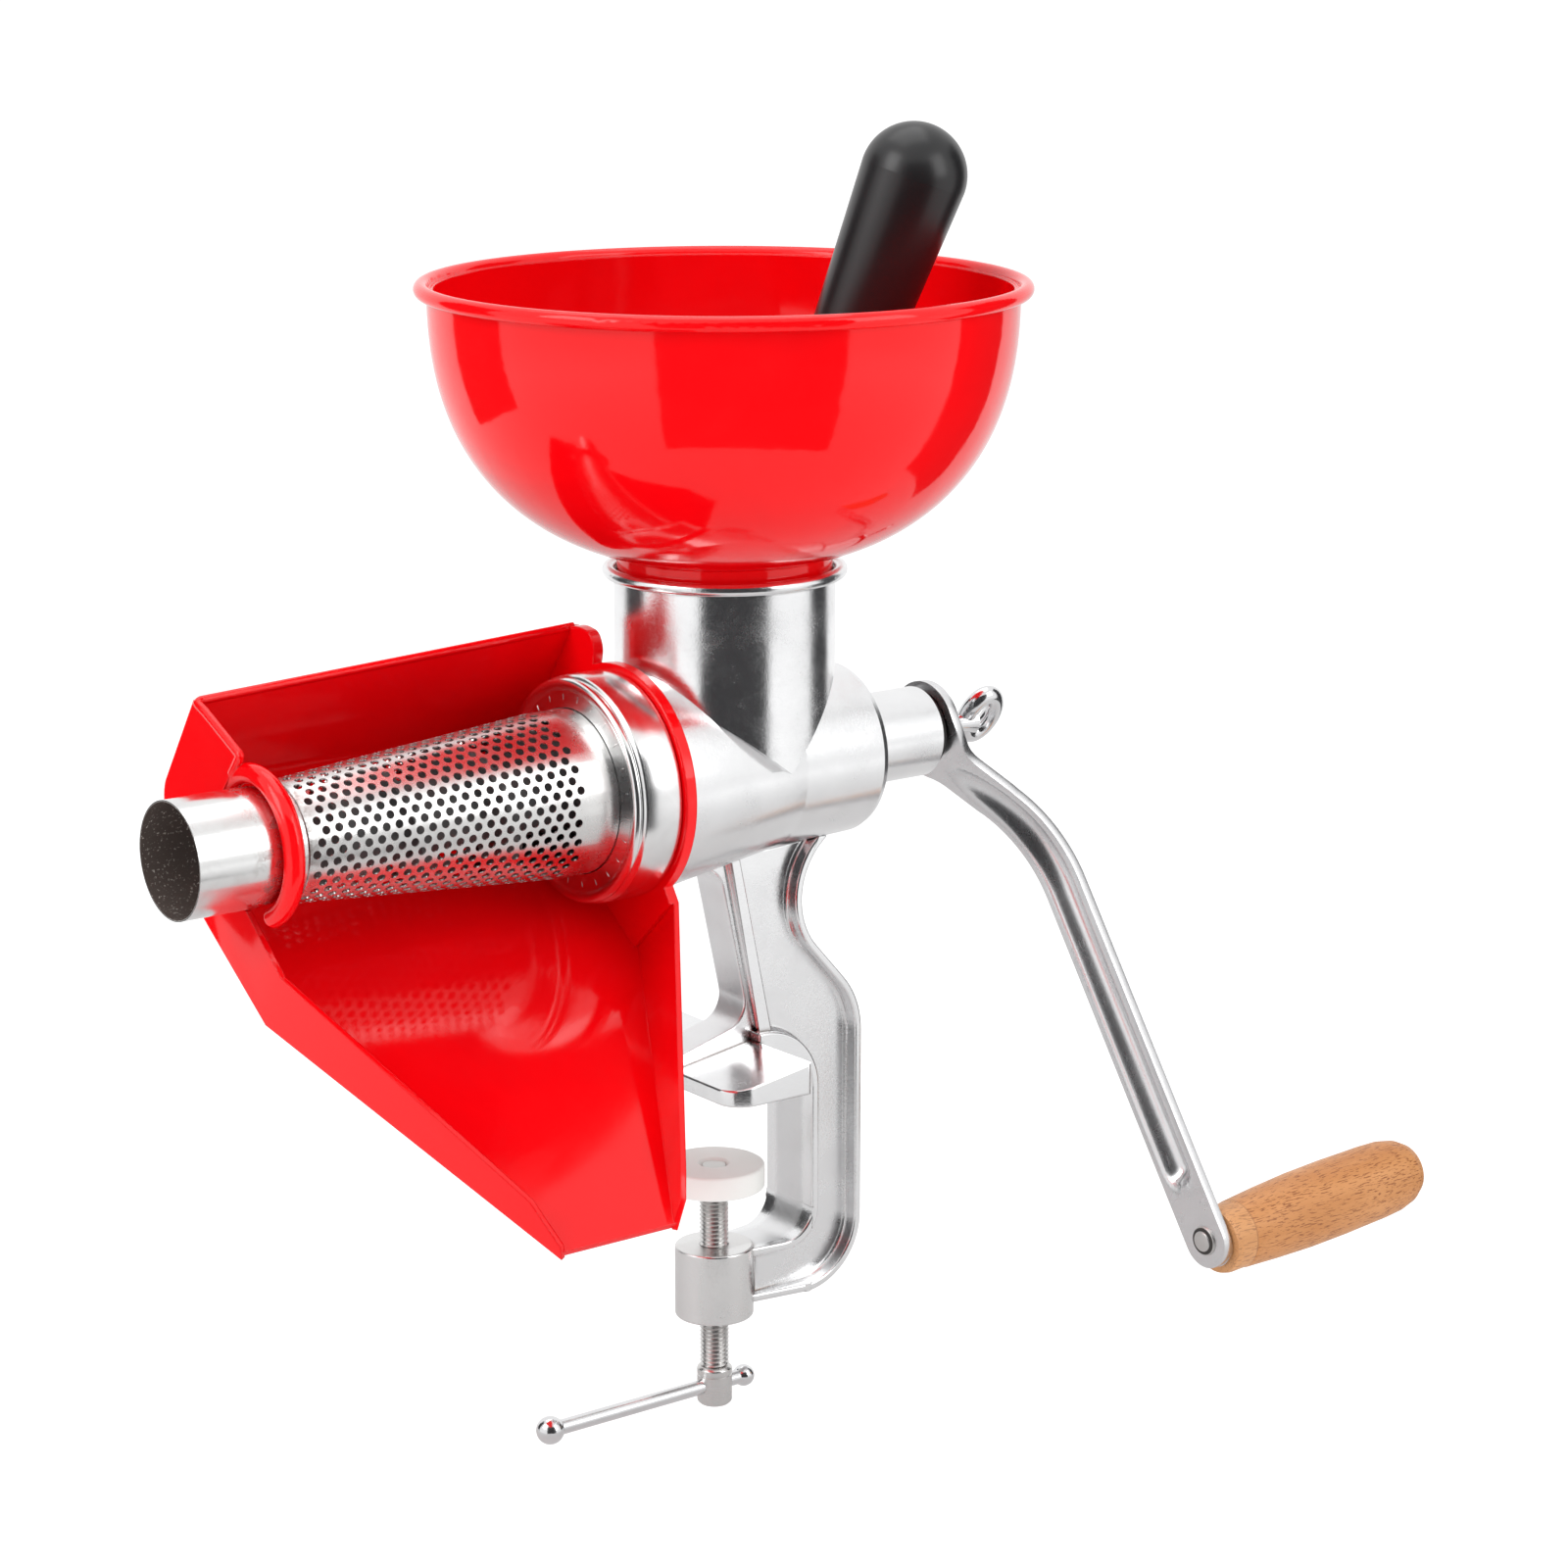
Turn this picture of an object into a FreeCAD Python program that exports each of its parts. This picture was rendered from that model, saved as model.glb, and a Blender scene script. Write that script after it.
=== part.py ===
import FreeCAD, Part
import math
import os
from FreeCAD import Vector

# Hand-cranked tomato strainer that clamps to a table edge.
# The pieces are drawn about the barrel axis (X, towards the crank) and the chute axis (Z, up),
# and are then moved so that the origin is the middle of the jaw's underside, on the screw axis.

# ---- clearances between pieces ----
RUN_GAP = 0.05        # radial gap of a shaft that turns in its bore
FREE_GAP = 0.3        # gap between pieces that move past each other
TRAY_GAP = 0.35       # radial gap between the tray ring and the barrel mouth

# ---- where the frame of the part sits ----
AXIS_HEIGHT = 105.0   # barrel axis above the table face of the jaw
JAW_Z = -AXIS_HEIGHT
SCREW_X = -5.2        # clamp screw axis, behind the chute axis

# ---- barrel casting ----
BASE_R = 27.0         # outside of the screen's base, which the barrel and nut follow
MOUTH_X = -56.0       # front end of the threaded mouth
MOUTH_R = BASE_R + 7.6          # outside of the mouth thread
SHOULDER_X = -40.2    # face that the tray ring leans on
SHOULDER_R = MOUTH_R + 2.0
SHOULDER_LENGTH = 4.0
SHOULDER_BLEND = 9.0
BARREL_FRONT_R = BASE_R + 4.9
BARREL_REAR_X = 47.5
BARREL_REAR_R = BARREL_FRONT_R - 2.8
BARREL_WALL = 4.0
REAR_WALL = 4.5
REAR_ROUND = 3.0
BOSS_R = 15.5
BOSS_END_X = 81.3

# ---- chute on top of the barrel ----
CHUTE_R = 36.4
CHUTE_WALL = 2.4
CHUTE_TOP_Z = 66.0
BEAD_R = 2.1
CHUTE_FOOT_Z = 3.5
CHUTE_FRONT_SLOPE = 0.77
CHUTE_REAR_SLOPE = 1.15

# ---- clamp frame, cast with the barrel ----
FLANGE_HALF = 13.0
WEB_HALF = 7.5
OUTER_RIM = 2.8
INNER_RIM = 3.0
SPINE_OUT_X = 48.3
SPINE_IN_X = 27.0
NECK_CORNER = (12.3, -45.7)
NECK_START = (38.0, -23.0)
NECK_ROUND = 25.0
SHOULDER_CORNER_Z = JAW_Z + 18.7
SHOULDER_ROUND = 30.0
GAP_HEIGHT = 63.3
ARM_TOP_Z = JAW_Z - GAP_HEIGHT
ARM_BOTTOM_Z = ARM_TOP_Z - 19.5
ARM_OUTER_ROUND = 24.0
ARM_INNER_ROUND = 11.0
ARM_END_HALF = 8.5
ARM_TAPER_X = 27.0
JAW_THICKNESS = 5.6     # at its rear edge, from where its top rises to the spine
JAW_BACK_X = -27.0
JAW_FRONT_X = 5.5
JAW_HALF = 41.0
JAW_ROUND = 9.0
JAW_END_ROUND = 2.0
GAP_ROUND = 20.0
GAP_TOP_Z = JAW_Z + 10.5
# hollowed rear edge of the web
WEB_EDGE = ((-24.0, -31.0), (-8.0, -33.5), (4.0, JAW_Z + 17.5), (JAW_BACK_X, JAW_Z + 9.5))
WEB_EDGE_ROUNDS = (9.0, 9.0)
GAP_CORNER_ROUND = 1.0
RIB_WIDTH = 4.5
RIB_HALF = 10.3
RIB_TOP = (-4.4, -26.0)
RIB_FOOT_X = 10.6
ROOT_STEPS = 6        # corners of the root along the round of the inner rim
SCREW_BOSS_R = 13.4
SCREW_BOSS_TOP_Z = ARM_TOP_Z + 1.1
SCREW_BOSS_BOTTOM_Z = ARM_BOTTOM_Z - 4.4

# ---- ring nut ----
NUT_R = MOUTH_R + 2.9
NUT_FACE_X = -61.6
NUT_BACK_X = -44.4
NUT_DISC = 2.1
NUT_HOLE_R = BASE_R + 0.3
NUT_EDGE_R = NUT_R - 1.9
NUT_BEAD = 1.6
NUT_LIP = 0.2
NUT_GROOVE = 0.9

# ---- screen, its base and the outlet tube ----
GASKET_THICKNESS = 2.0
FLANGE_THICKNESS = 1.4
FLANGE_R = BASE_R + 6.0
SHEET = 0.55
BASE_LENGTH = 14.0
CONE_END_X = -171.0
CONE_END_R = 19.2
TUBE_END_X = -208.7
HOLE_D = 2.4
HOLE_REACH = 4.0
HOLE_ROWS = 10
HOLES_PER_ROW = 20
HOLE_MARGIN_BASE = 4.0
HOLE_MARGIN_TIP = 5.0

# ---- auger and its drive ----
AUGER_FRONT_X = -156.0
AUGER_REAR_X = 27.0
AUGER_FRONT_R = 17.2
AUGER_REAR_R = 23.6
AUGER_CORE_FRONT_R = 13.0
AUGER_CORE_REAR_R = 9.5
AUGER_GAP = 1.2
FLIGHT_PITCH = 32.0
FLIGHT_THICKNESS = 3.6
SHAFT_R = 7.0
SHAFT_FRONT_X = -60.0
DRIVE_SQUARE = 9.6
BUSH_R = 10.5
BUSH_FLANGE_R = 15.0
BUSH_FLANGE = 3.0
SPRING_R = 10.2
SPRING_WIRE = 1.1
SPRING_TURNS = 4
SEAL_R = 13.2
SEAL_THICKNESS = 3.1

# ---- crank ----
CRANK_ANGLE = 32.0    # hangs this far forward of straight down
CRANK_THICKNESS = 3.2
HUB_R = 16.8
ARM_WIDTH = 19.4
ARM_RADIUS = 196.2    # shaft axis to grip axis
ARM_END_R = 9.7
ARM_END_BACK = 1.5    # centre of the round end, before the grip axis
BEND_START = 8.5
BEND_END = 47.0
BEND_REACH = 31.5
ARM_SPLAY = 10.1      # outward lean between the bend and the grip
INNER_BEND_R = 14.0
OUTER_BEND_R = 34.0
CHANNEL_R = 4.6
CHANNEL_SHEET = 2.4
CHANNEL_START = 18.0
CHANNEL_STOP = 20.2
CHANNEL_END = ARM_RADIUS - CHANNEL_STOP
SCREW_COLLAR_R = 7.0
SCREW_COLLAR = 3.0
SCREW_DISH = 0.9      # height of the cone under the collar
SCREW_STEM_R = 3.0
SCREW_DEPTH = 18.0
EYE_R = 9.5
EYE_HOLE_R = 4.0
EYE_THICKNESS = 4.6
EYE_REACH = 25.5
EYE_TURN = 18.0

# ---- grip ----
GRIP_LENGTH = 96.0
GRIP_SHAPE = (         # (share of the length, radius)
    (0.0, 11.1), (0.02, 11.6), (0.09, 11.6), (0.1, 11.9), (0.25, 12.8), (0.42, 13.5), (0.6, 13.6),
    (0.8, 13.3), (0.88, 12.9), (0.94, 11.7), (0.98, 9.7), (1.0, 7.7))
SPINDLE_R = 4.0
SPINDLE_HEAD_R = 6.2
SPINDLE_HEAD = 3.0
RIVET_HEAD_R = 5.2
RIVET_HEAD = 1.6
GRIP_WASHER_R = 8.5
GRIP_WASHER = 1.2
GRIP_RECESS = 6.0

# ---- hopper and pestle ----
HOPPER_R = 95.8
HOPPER_DEPTH = 90.5
HOPPER_RIM_Z = 158.4
HOPPER_POWER = 2.4    # fullness of the bowl's side
HOPPER_WALL = 2.2
RIM_BEAD_R = 2.5
RIM_BEAD_OUT = 1.7    # bead centre, outside the bowl's side
NECK_R = 33.6
NECK_FLARE_R = 35.4
NECK_FLARE_Z = 66.5
NECK_STEP_Z = 60.5
NECK_END_Z = 48.0
PESTLE_DOME_R = 17.5
PESTLE_DOME_Z = 192.6
PESTLE_DOME_OFFSET = 61.3
PESTLE_SIDE_SHIFT = 15.0
PESTLE_END_Z = 33.0
PESTLE_LEAN = 20.0
PESTLE_BEARING = -37.5
PESTLE_HALF_TAPER = 2.9
PESTLE_WALL = 2.5
PESTLE_CAP_LENGTH = 9.0
PESTLE_END_ROUND = 2.0
PLUG_LENGTH = 6.0
PLUG_TAPER = 0.4

# ---- drip tray ----
SHEET_TRAY = 1.9
TRAY_LEFT_X = -182.0
TRAY_RIGHT_X = -40.5
TRAY_RING_WIDTH = 3.7
TRAY_RING_R = 39.5
TRAY_TOP_LEFT = (30.0, 40.5)
TRAY_TOP_RIGHT = (25.0, 48.0)
TRAY_BACK = (51.8, 5.0)
TRAY_BOTTOM = (28.6, -26.3)
TRAY_LIP = (-95.0, -114.2)
TRAY_TURN_Y = -8.0
TRAY_BACK_ROUND = 12.0
TRAY_BOTTOM_ROUND = 25.0
LIP_LEFT_X = -132.5
LIP_RIGHT_X = -89.3
LEFT_RIM = (-18.0, -37.4)           # rim of the left wall, from the turn of the plan to the lip
LEFT_RIM_END = ((-88.5, -98.5), (-95.6, -112.2))
RIGHT_RIM = (-29.3, -34.5)
RIGHT_RIM_END = ((-90.0, -100.3), (-95.5, -107.1))
LEFT_END_RIM = ((24.0, 38.0), (3.0, 28.0), (13.7, 15.2))
RIGHT_END_RIM = ((21.0, 48.7), (14.2, 47.6), (11.7, 42.6), (12.8, 36.9), (0.0, 30.0), (-20.0, -20.0))
TRAY_NOTCH_R = 20.6
HOOK_R = 22.6
HOOK_WIRE_R = 3.3
HOOK_X = -178.6
HOOK_START = 40.0
HOOK_SWEEP = 205.0

# ---- clamp screw, pad and tommy bar ----
PAD_R = 17.3
PAD_TOP_Z = JAW_Z - 33.0
PAD_THICKNESS = 8.4
PAD_SINK_R = 4.6
PAD_SINK = 2.4
SCREW_R = 5.0
NOSE_R = 3.2
HEAD_R = 6.0
HEAD_LENGTH = 13.6
HEAD_TOP_Z = SCREW_BOSS_BOTTOM_Z - 19.0
BAR_R = 2.55
BAR_LEFT_X = -73.4
BAR_RIGHT_X = 7.2
BIG_BALL_R = 4.75
SMALL_BALL_R = 3.75

X_AXIS = Vector(1, 0, 0)
Y_AXIS = Vector(0, 1, 0)
Z_AXIS = Vector(0, 0, 1)
ORIGIN = Vector(0, 0, 0)
TOOL = 400.0          # wider than any piece that a cutting tool trims


# ---------------------------------------------------------------- helpers

def turned(points, axis):
    """A solid of revolution about X or Z from (distance along the axis, radius) corners."""
    corners = [point_on(axis, along, radius) for along, radius in points]
    wire = Part.makePolygon(corners + corners[:1])
    return Part.Face(wire).revolve(ORIGIN, axis, 360)


def point_on(axis, along, radius):
    if axis.x:
        return Vector(along, 0, radius)
    return Vector(radius, 0, along)


def rod(radius, start, end):
    """A cylinder between two points."""
    path = end - start
    return Part.makeCylinder(radius, path.Length, start, path)


def slab(corners, thickness, direction):
    """A flat polygon given a thickness along a direction."""
    wire = Part.makePolygon(corners + corners[:1])
    return Part.Face(wire).extrude(direction * thickness)


def fuse_all(shapes):
    whole = shapes[0].multiFuse(shapes[1:])
    return whole.removeSplitter()


def rounded_path(corners, rounds, offset):
    """Edges of a flat path with rounded corners, moved sideways by an offset to its left."""
    edges = []
    last = shifted(corners[0], corners[1], corners[0], offset)
    for i, round_r in enumerate(rounds):
        before, corner, after = corners[i], corners[i + 1], corners[i + 2]
        d1 = unit(before, corner)
        d2 = unit(corner, after)
        turn = math.atan2(d1[0] * d2[1] - d1[1] * d2[0], d1[0] * d2[0] + d1[1] * d2[1])
        side = 1 if turn > 0 else -1
        reach = round_r * math.tan(abs(turn) / 2)
        centre = (corner[0] - d1[0] * reach - d1[1] * side * round_r,
                  corner[1] - d1[1] * reach + d1[0] * side * round_r)
        arc_r = round_r - side * offset
        angle = math.atan2(-d1[0] * side, d1[1] * side)
        stops = [(centre[0] + arc_r * math.cos(angle + turn * share),
                  centre[1] + arc_r * math.sin(angle + turn * share)) for share in (0, 0.5, 1)]
        edges.append(("line", last, stops[0]))
        edges.append(("arc", stops[0], stops[1], stops[2]))
        last = stops[2]
    end = shifted(corners[-2], corners[-1], corners[-1], offset)
    edges.append(("line", last, end))
    return edges


def unit(a, b):
    length = math.hypot(b[0] - a[0], b[1] - a[1])
    return ((b[0] - a[0]) / length, (b[1] - a[1]) / length)


def shifted(a, b, at, offset):
    d = unit(a, b)
    return (at[0] - d[1] * offset, at[1] + d[0] * offset)


def draw(edges, lift):
    """Turn flat path entries into edges, with lift() placing a flat point in space."""
    drawn = []
    for edge in edges:
        points = [lift(*point) for point in edge[1:]]
        if edge[0] == "line":
            drawn.append(Part.makeLine(points[0], points[1]))
        else:
            drawn.append(Part.Arc(points[0], points[1], points[2]).toShape())
    return drawn


def reversed_path(edges):
    return [(edge[0],) + tuple(reversed(edge[1:])) for edge in reversed(edges)]


def ribbon_face(corners, rounds, low, high, lift):
    """The face between two offsets of one rounded path."""
    side_a = rounded_path(corners, rounds, low)
    side_b = reversed_path(rounded_path(corners, rounds, high))
    outline = side_a + [("line", side_a[-1][-1], side_b[0][1])] + side_b
    outline.append(("line", side_b[-1][-1], side_a[0][1]))
    return Part.Face(Part.Wire(draw(outline, lift)))


def in_xz(x, z):
    return Vector(x, 0, z)


def band_y(face, half):
    """Extrude a face in the XZ plane to both sides of it."""
    moved = face.copy()
    moved.translate(Vector(0, -half, 0))
    return moved.extrude(Vector(0, 2 * half, 0))


def polygon_xz(points):
    corners = [in_xz(x, z) for x, z in points]
    return Part.Face(Part.makePolygon(corners + corners[:1]))


def barrel_radius(x):
    share = (x - SHOULDER_X) / (BARREL_REAR_X - SHOULDER_X)
    return BARREL_FRONT_R + share * (BARREL_REAR_R - BARREL_FRONT_R)


def cone_radius(x):
    """Outside radius of the screen along its cone."""
    share = (x - CONE_END_X) / (screen_base_x() - CONE_END_X)
    return CONE_END_R + share * (BASE_R - CONE_END_R)


def screen_base_x():
    return flange_face_x() - BASE_LENGTH


def flange_face_x():
    return NUT_FACE_X + NUT_DISC


# ---------------------------------------------------------------- barrel casting

def barrel_outside():
    shoulder_end = SHOULDER_X + SHOULDER_LENGTH
    blend_end = shoulder_end + SHOULDER_BLEND
    round_x = BARREL_REAR_X - REAR_ROUND
    profile = [
        (MOUTH_X, 0), (MOUTH_X, MOUTH_R), (SHOULDER_X, MOUTH_R), (SHOULDER_X, SHOULDER_R),
        (shoulder_end, SHOULDER_R), (blend_end, barrel_radius(blend_end)),
        (round_x, barrel_radius(round_x)),
        (BARREL_REAR_X - REAR_ROUND * 0.3, BARREL_REAR_R - REAR_ROUND * 0.25),
        (BARREL_REAR_X, BARREL_REAR_R - REAR_ROUND), (BARREL_REAR_X, BOSS_R),
        (BOSS_END_X, BOSS_R), (BOSS_END_X, 0)]
    return turned(profile, X_AXIS)


def barrel_bore():
    inner_end = BARREL_REAR_X - REAR_WALL
    front_r = BARREL_FRONT_R - BARREL_WALL
    rear_r = BARREL_REAR_R - BARREL_WALL
    profile = [(MOUTH_X - 1, 0), (MOUTH_X - 1, front_r), (SHOULDER_X, front_r), (inner_end, rear_r),
               (inner_end, 0)]
    return turned(profile, X_AXIS)


def under_chute(lift):
    """Everything below the pointed foot of the chute, raised by a lift."""
    reach = CHUTE_R + 1
    foot = CHUTE_FOOT_Z + lift
    below = polygon_xz([
        (-reach, foot + CHUTE_FRONT_SLOPE * reach), (0, foot), (reach, foot + CHUTE_REAR_SLOPE * reach),
        (reach, -1), (-reach, -1)])
    return band_y(below, reach)


def chute_outside():
    """The round chute, whose foot runs to a point on each side of the barrel."""
    tube = rod(CHUTE_R, ORIGIN, Vector(0, 0, CHUTE_TOP_Z)).cut(under_chute(0))
    bead = Part.makeTorus(CHUTE_R - CHUTE_WALL + BEAD_R * 2, BEAD_R, Vector(0, 0, CHUTE_TOP_Z))
    return [tube, bead]


def chute_bore():
    bore_r = CHUTE_R - CHUTE_WALL
    bead_top = CHUTE_TOP_Z + BEAD_R + 1
    mouth_r = CHUTE_R - CHUTE_WALL + BEAD_R
    profile = [
        (0, 0), (0, bore_r), (NECK_STEP_Z, bore_r), (NECK_FLARE_Z, mouth_r), (bead_top, mouth_r + 0.4),
        (bead_top, 0)]
    return turned(profile, Z_AXIS).cut(under_chute(BARREL_WALL))


def outer_corners():
    return [NECK_START, NECK_CORNER, (SPINE_OUT_X, SHOULDER_CORNER_Z), (SPINE_OUT_X, ARM_BOTTOM_Z),
            (SCREW_X, ARM_BOTTOM_Z)]


def inner_corners():
    return [(JAW_FRONT_X - 1, GAP_TOP_Z), (SPINE_IN_X, GAP_TOP_Z),
            (SPINE_IN_X, ARM_TOP_Z), (SCREW_X, ARM_TOP_Z)]


def frame_web():
    outer = rounded_path(outer_corners(), [NECK_ROUND, SHOULDER_ROUND, ARM_OUTER_ROUND], 0)
    gap = reversed_path(rounded_path(
        [(JAW_BACK_X, JAW_Z), (SPINE_IN_X, JAW_Z), (SPINE_IN_X, ARM_TOP_Z), (SCREW_X, ARM_TOP_Z)],
        [GAP_CORNER_ROUND, ARM_INNER_ROUND], 0))
    edge = reversed_path(rounded_path(WEB_EDGE, WEB_EDGE_ROUNDS, 0))
    outline = outer + [("line", outer[-1][-1], gap[0][1])] + gap
    outline.append(("line", gap[-1][-1], edge[0][1]))
    outline += edge
    outline.append(("line", edge[-1][-1], outer[0][1]))
    return band_y(Part.Face(Part.Wire(draw(outline, in_xz))), WEB_HALF)


def frame_rims():
    outer = ribbon_face(outer_corners(), [NECK_ROUND, SHOULDER_ROUND, ARM_OUTER_ROUND], 0, -OUTER_RIM, in_xz)
    inner = ribbon_face(inner_corners(), [GAP_ROUND, ARM_INNER_ROUND], 0, INNER_RIM, in_xz)
    rims = band_y(outer, FLANGE_HALF).fuse(band_y(inner, FLANGE_HALF))
    return rims.cut(arm_taper())


def arm_taper():
    """Wedges that narrow the lower arm towards the screw boss."""
    cuts = []
    for side in (-1, 1):
        corners = [Vector(ARM_TAPER_X, side * (FLANGE_HALF + 0.01), ARM_BOTTOM_Z - 1),
                   Vector(SCREW_X, side * ARM_END_HALF, ARM_BOTTOM_Z - 1),
                   Vector(SCREW_X, side * FLANGE_HALF * 1.5, ARM_BOTTOM_Z - 1),
                   Vector(ARM_TAPER_X, side * FLANGE_HALF * 1.5, ARM_BOTTOM_Z - 1)]
        cuts.append(slab(corners, ARM_TOP_Z - ARM_BOTTOM_Z + ARM_INNER_ROUND + INNER_RIM, Z_AXIS))
    return cuts[0].fuse(cuts[1])


def jaw_root():
    """Solid root of the jaw under the round of the inner rim."""
    radius = GAP_ROUND + INNER_RIM / 2
    centre_x = SPINE_IN_X - GAP_ROUND
    centre_z = GAP_TOP_Z - GAP_ROUND
    last = math.asin((JAW_Z - centre_z) / radius)
    corners = [(JAW_FRONT_X - JAW_ROUND, JAW_Z), (JAW_FRONT_X - JAW_ROUND, JAW_Z + JAW_THICKNESS)]
    for i in range(ROOT_STEPS + 1):
        angle = math.pi / 2 + (last - math.pi / 2) * i / ROOT_STEPS
        corners.append((centre_x + radius * math.cos(angle), centre_z + radius * math.sin(angle)))
    return band_y(polygon_xz(corners), FLANGE_HALF)


def jaw_plate():
    """Plate that grips the table from above, thicker towards the spine."""
    side = polygon_xz([(JAW_BACK_X, JAW_Z), (JAW_BACK_X, JAW_Z + JAW_THICKNESS),
                       (JAW_FRONT_X, GAP_TOP_Z), (JAW_FRONT_X, JAW_Z)])
    plate = band_y(side, JAW_HALF)
    for x, radius in ((JAW_BACK_X, JAW_ROUND), (JAW_FRONT_X, JAW_END_ROUND)):
        corners = [edge for edge in plate.Edges
                   if abs(edge.tangentAt(edge.FirstParameter).z) > 0.99 and abs(edge.BoundBox.XMin - x) < 0.1]
        plate = plate.makeFillet(radius, corners)
    return [plate, jaw_root()]


def frame_rib():
    """Slanting rib on both faces of the web, from the barrel to the jaw."""
    half = RIB_WIDTH / 2
    top_x, top_z = RIB_TOP
    foot_z = GAP_TOP_Z - 2
    rib = polygon_xz([(top_x - half, top_z), (top_x + half, top_z), (RIB_FOOT_X + half, foot_z),
                      (RIB_FOOT_X - half, foot_z)])
    return band_y(rib, RIB_HALF)


def body_casting():
    """Barrel and feed chute."""
    casting = fuse_all([barrel_outside()] + chute_outside())
    bush_bore = rod(BUSH_R, Vector(0, 0, 0), Vector(BOSS_END_X + 1, 0, 0))
    for cut in (barrel_bore(), chute_bore(), bush_bore):
        casting = casting.cut(cut)
    return casting


def clamp_frame():
    """Clamp under the barrel: web, rims, rib, jaw and the boss that the screw runs in."""
    boss_bottom = Vector(SCREW_X, 0, SCREW_BOSS_BOTTOM_Z)
    screw_boss = rod(SCREW_BOSS_R, boss_bottom, Vector(SCREW_X, 0, SCREW_BOSS_TOP_Z))
    frame = fuse_all([frame_web(), frame_rims(), frame_rib(), screw_boss] + jaw_plate())
    screw_bore = rod(SCREW_R + RUN_GAP, Vector(SCREW_X, 0, SCREW_BOSS_BOTTOM_Z - 1),
                     Vector(SCREW_X, 0, SCREW_BOSS_TOP_Z + 1))
    return frame.cut(screw_bore).cut(barrel_outside())


# ---------------------------------------------------------------- ring nut and screen

def ring_nut():
    thread_r = MOUTH_R + RUN_GAP
    disc_back = NUT_FACE_X + NUT_DISC
    profile = [
        (NUT_FACE_X, NUT_HOLE_R), (NUT_FACE_X, NUT_EDGE_R - NUT_BEAD),
        (NUT_FACE_X - NUT_BEAD * 0.5, NUT_EDGE_R),
        (NUT_FACE_X + NUT_BEAD, NUT_R - NUT_LIP), (NUT_FACE_X + NUT_BEAD * 2, NUT_R - NUT_GROOVE),
        (NUT_FACE_X + NUT_BEAD * 2.6, NUT_R), (NUT_BACK_X, NUT_R), (NUT_BACK_X, thread_r),
        (disc_back, thread_r), (disc_back, NUT_HOLE_R)]
    return turned(profile, X_AXIS)


def mouth_gasket():
    back = MOUTH_X
    front = back - GASKET_THICKNESS
    inner = BARREL_FRONT_R - BARREL_WALL
    profile = [(front, inner), (front, FLANGE_R), (back, FLANGE_R), (back, inner)]
    return turned(profile, X_AXIS)


def screen_flange():
    """Turned base ring of the screen, held between the gasket and the ring nut."""
    back = MOUTH_X - GASKET_THICKNESS
    face = flange_face_x()
    inner = BASE_R - SHEET
    profile = [(face + RUN_GAP * 2, inner), (face + RUN_GAP * 2, FLANGE_R), (back, FLANGE_R), (back, inner)]
    return turned(profile, X_AXIS)


def screen_holes():
    """Staggered rows of round holes through the sheet of the cone."""
    first = CONE_END_X + HOLE_MARGIN_TIP
    step = (screen_base_x() - HOLE_MARGIN_BASE - first) / (HOLE_ROWS - 1)
    pins = []
    for row in range(HOLE_ROWS):
        x = first + row * step
        for k in range(HOLES_PER_ROW):
            angle = 2 * math.pi * (k + 0.5 * (row % 2)) / HOLES_PER_ROW
            out = Vector(0, math.cos(angle), math.sin(angle))
            inner = Vector(x, 0, 0) + out * (cone_radius(x) - HOLE_REACH / 2)
            pins.append(Part.makeCylinder(HOLE_D / 2, HOLE_REACH, inner, out))
    return Part.makeCompound(pins)


def screen_cone():
    base = screen_base_x()
    end = flange_face_x() + RUN_GAP * 2
    profile = [
        (CONE_END_X, CONE_END_R - SHEET), (CONE_END_X, CONE_END_R), (base, BASE_R), (end, BASE_R),
        (end, BASE_R - SHEET), (base, BASE_R - SHEET)]
    return turned(profile, X_AXIS).cut(screen_holes())


def outlet_tube():
    """Waste outlet, pushed into the small end of the cone."""
    outside = cone_radius(CONE_END_X) - SHEET
    inside = outside - SHEET
    return rod(outside, Vector(TUBE_END_X, 0, 0), Vector(CONE_END_X, 0, 0)).cut(
        rod(inside, Vector(TUBE_END_X - 1, 0, 0), Vector(CONE_END_X + 1, 0, 0)))


# ---------------------------------------------------------------- auger and drive

def auger_flight(start, end, start_r, end_r, turned_by):
    """A stretch of the blade, whose outer edge tapers from one radius to the other."""
    length = end - start
    taper = math.degrees(math.atan2(end_r - start_r, length))
    helix = Part.makeHelix(FLIGHT_PITCH, length, start_r, taper)
    half = FLIGHT_THICKNESS / 2
    depth = max(start_r, end_r) - AUGER_CORE_REAR_R + 1
    low = start_r - depth
    corners = [Vector(low, 0, -half), Vector(start_r, 0, -half),
               Vector(start_r, 0, half), Vector(low, 0, half)]
    blade = Part.Wire(helix.Edges).makePipeShell([Part.makePolygon(corners + corners[:1])], True, True)
    blade.rotate(ORIGIN, Z_AXIS, turned_by)
    blade.rotate(ORIGIN, Y_AXIS, 90)
    blade.translate(Vector(start, 0, 0))
    return blade


def auger():
    core = turned([(AUGER_FRONT_X, 0), (AUGER_FRONT_X, AUGER_CORE_FRONT_R),
                   (AUGER_REAR_X, AUGER_CORE_REAR_R), (AUGER_REAR_X, 0)], X_AXIS)
    middle_r = BASE_R - SHEET - AUGER_GAP
    start = AUGER_FRONT_X + FLIGHT_THICKNESS / 2
    end = AUGER_REAR_X - FLIGHT_THICKNESS / 2
    turned_by = 360 * (MOUTH_X - start) / FLIGHT_PITCH
    front = auger_flight(start, MOUTH_X, AUGER_FRONT_R, middle_r, 0)
    rear = auger_flight(MOUTH_X, end, middle_r, AUGER_REAR_R, turned_by)
    bore = rod(SHAFT_R, Vector(SHAFT_FRONT_X, 0, 0), Vector(AUGER_REAR_X + 1, 0, 0))
    return core.fuse(front).fuse(rear).cut(bore)


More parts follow.
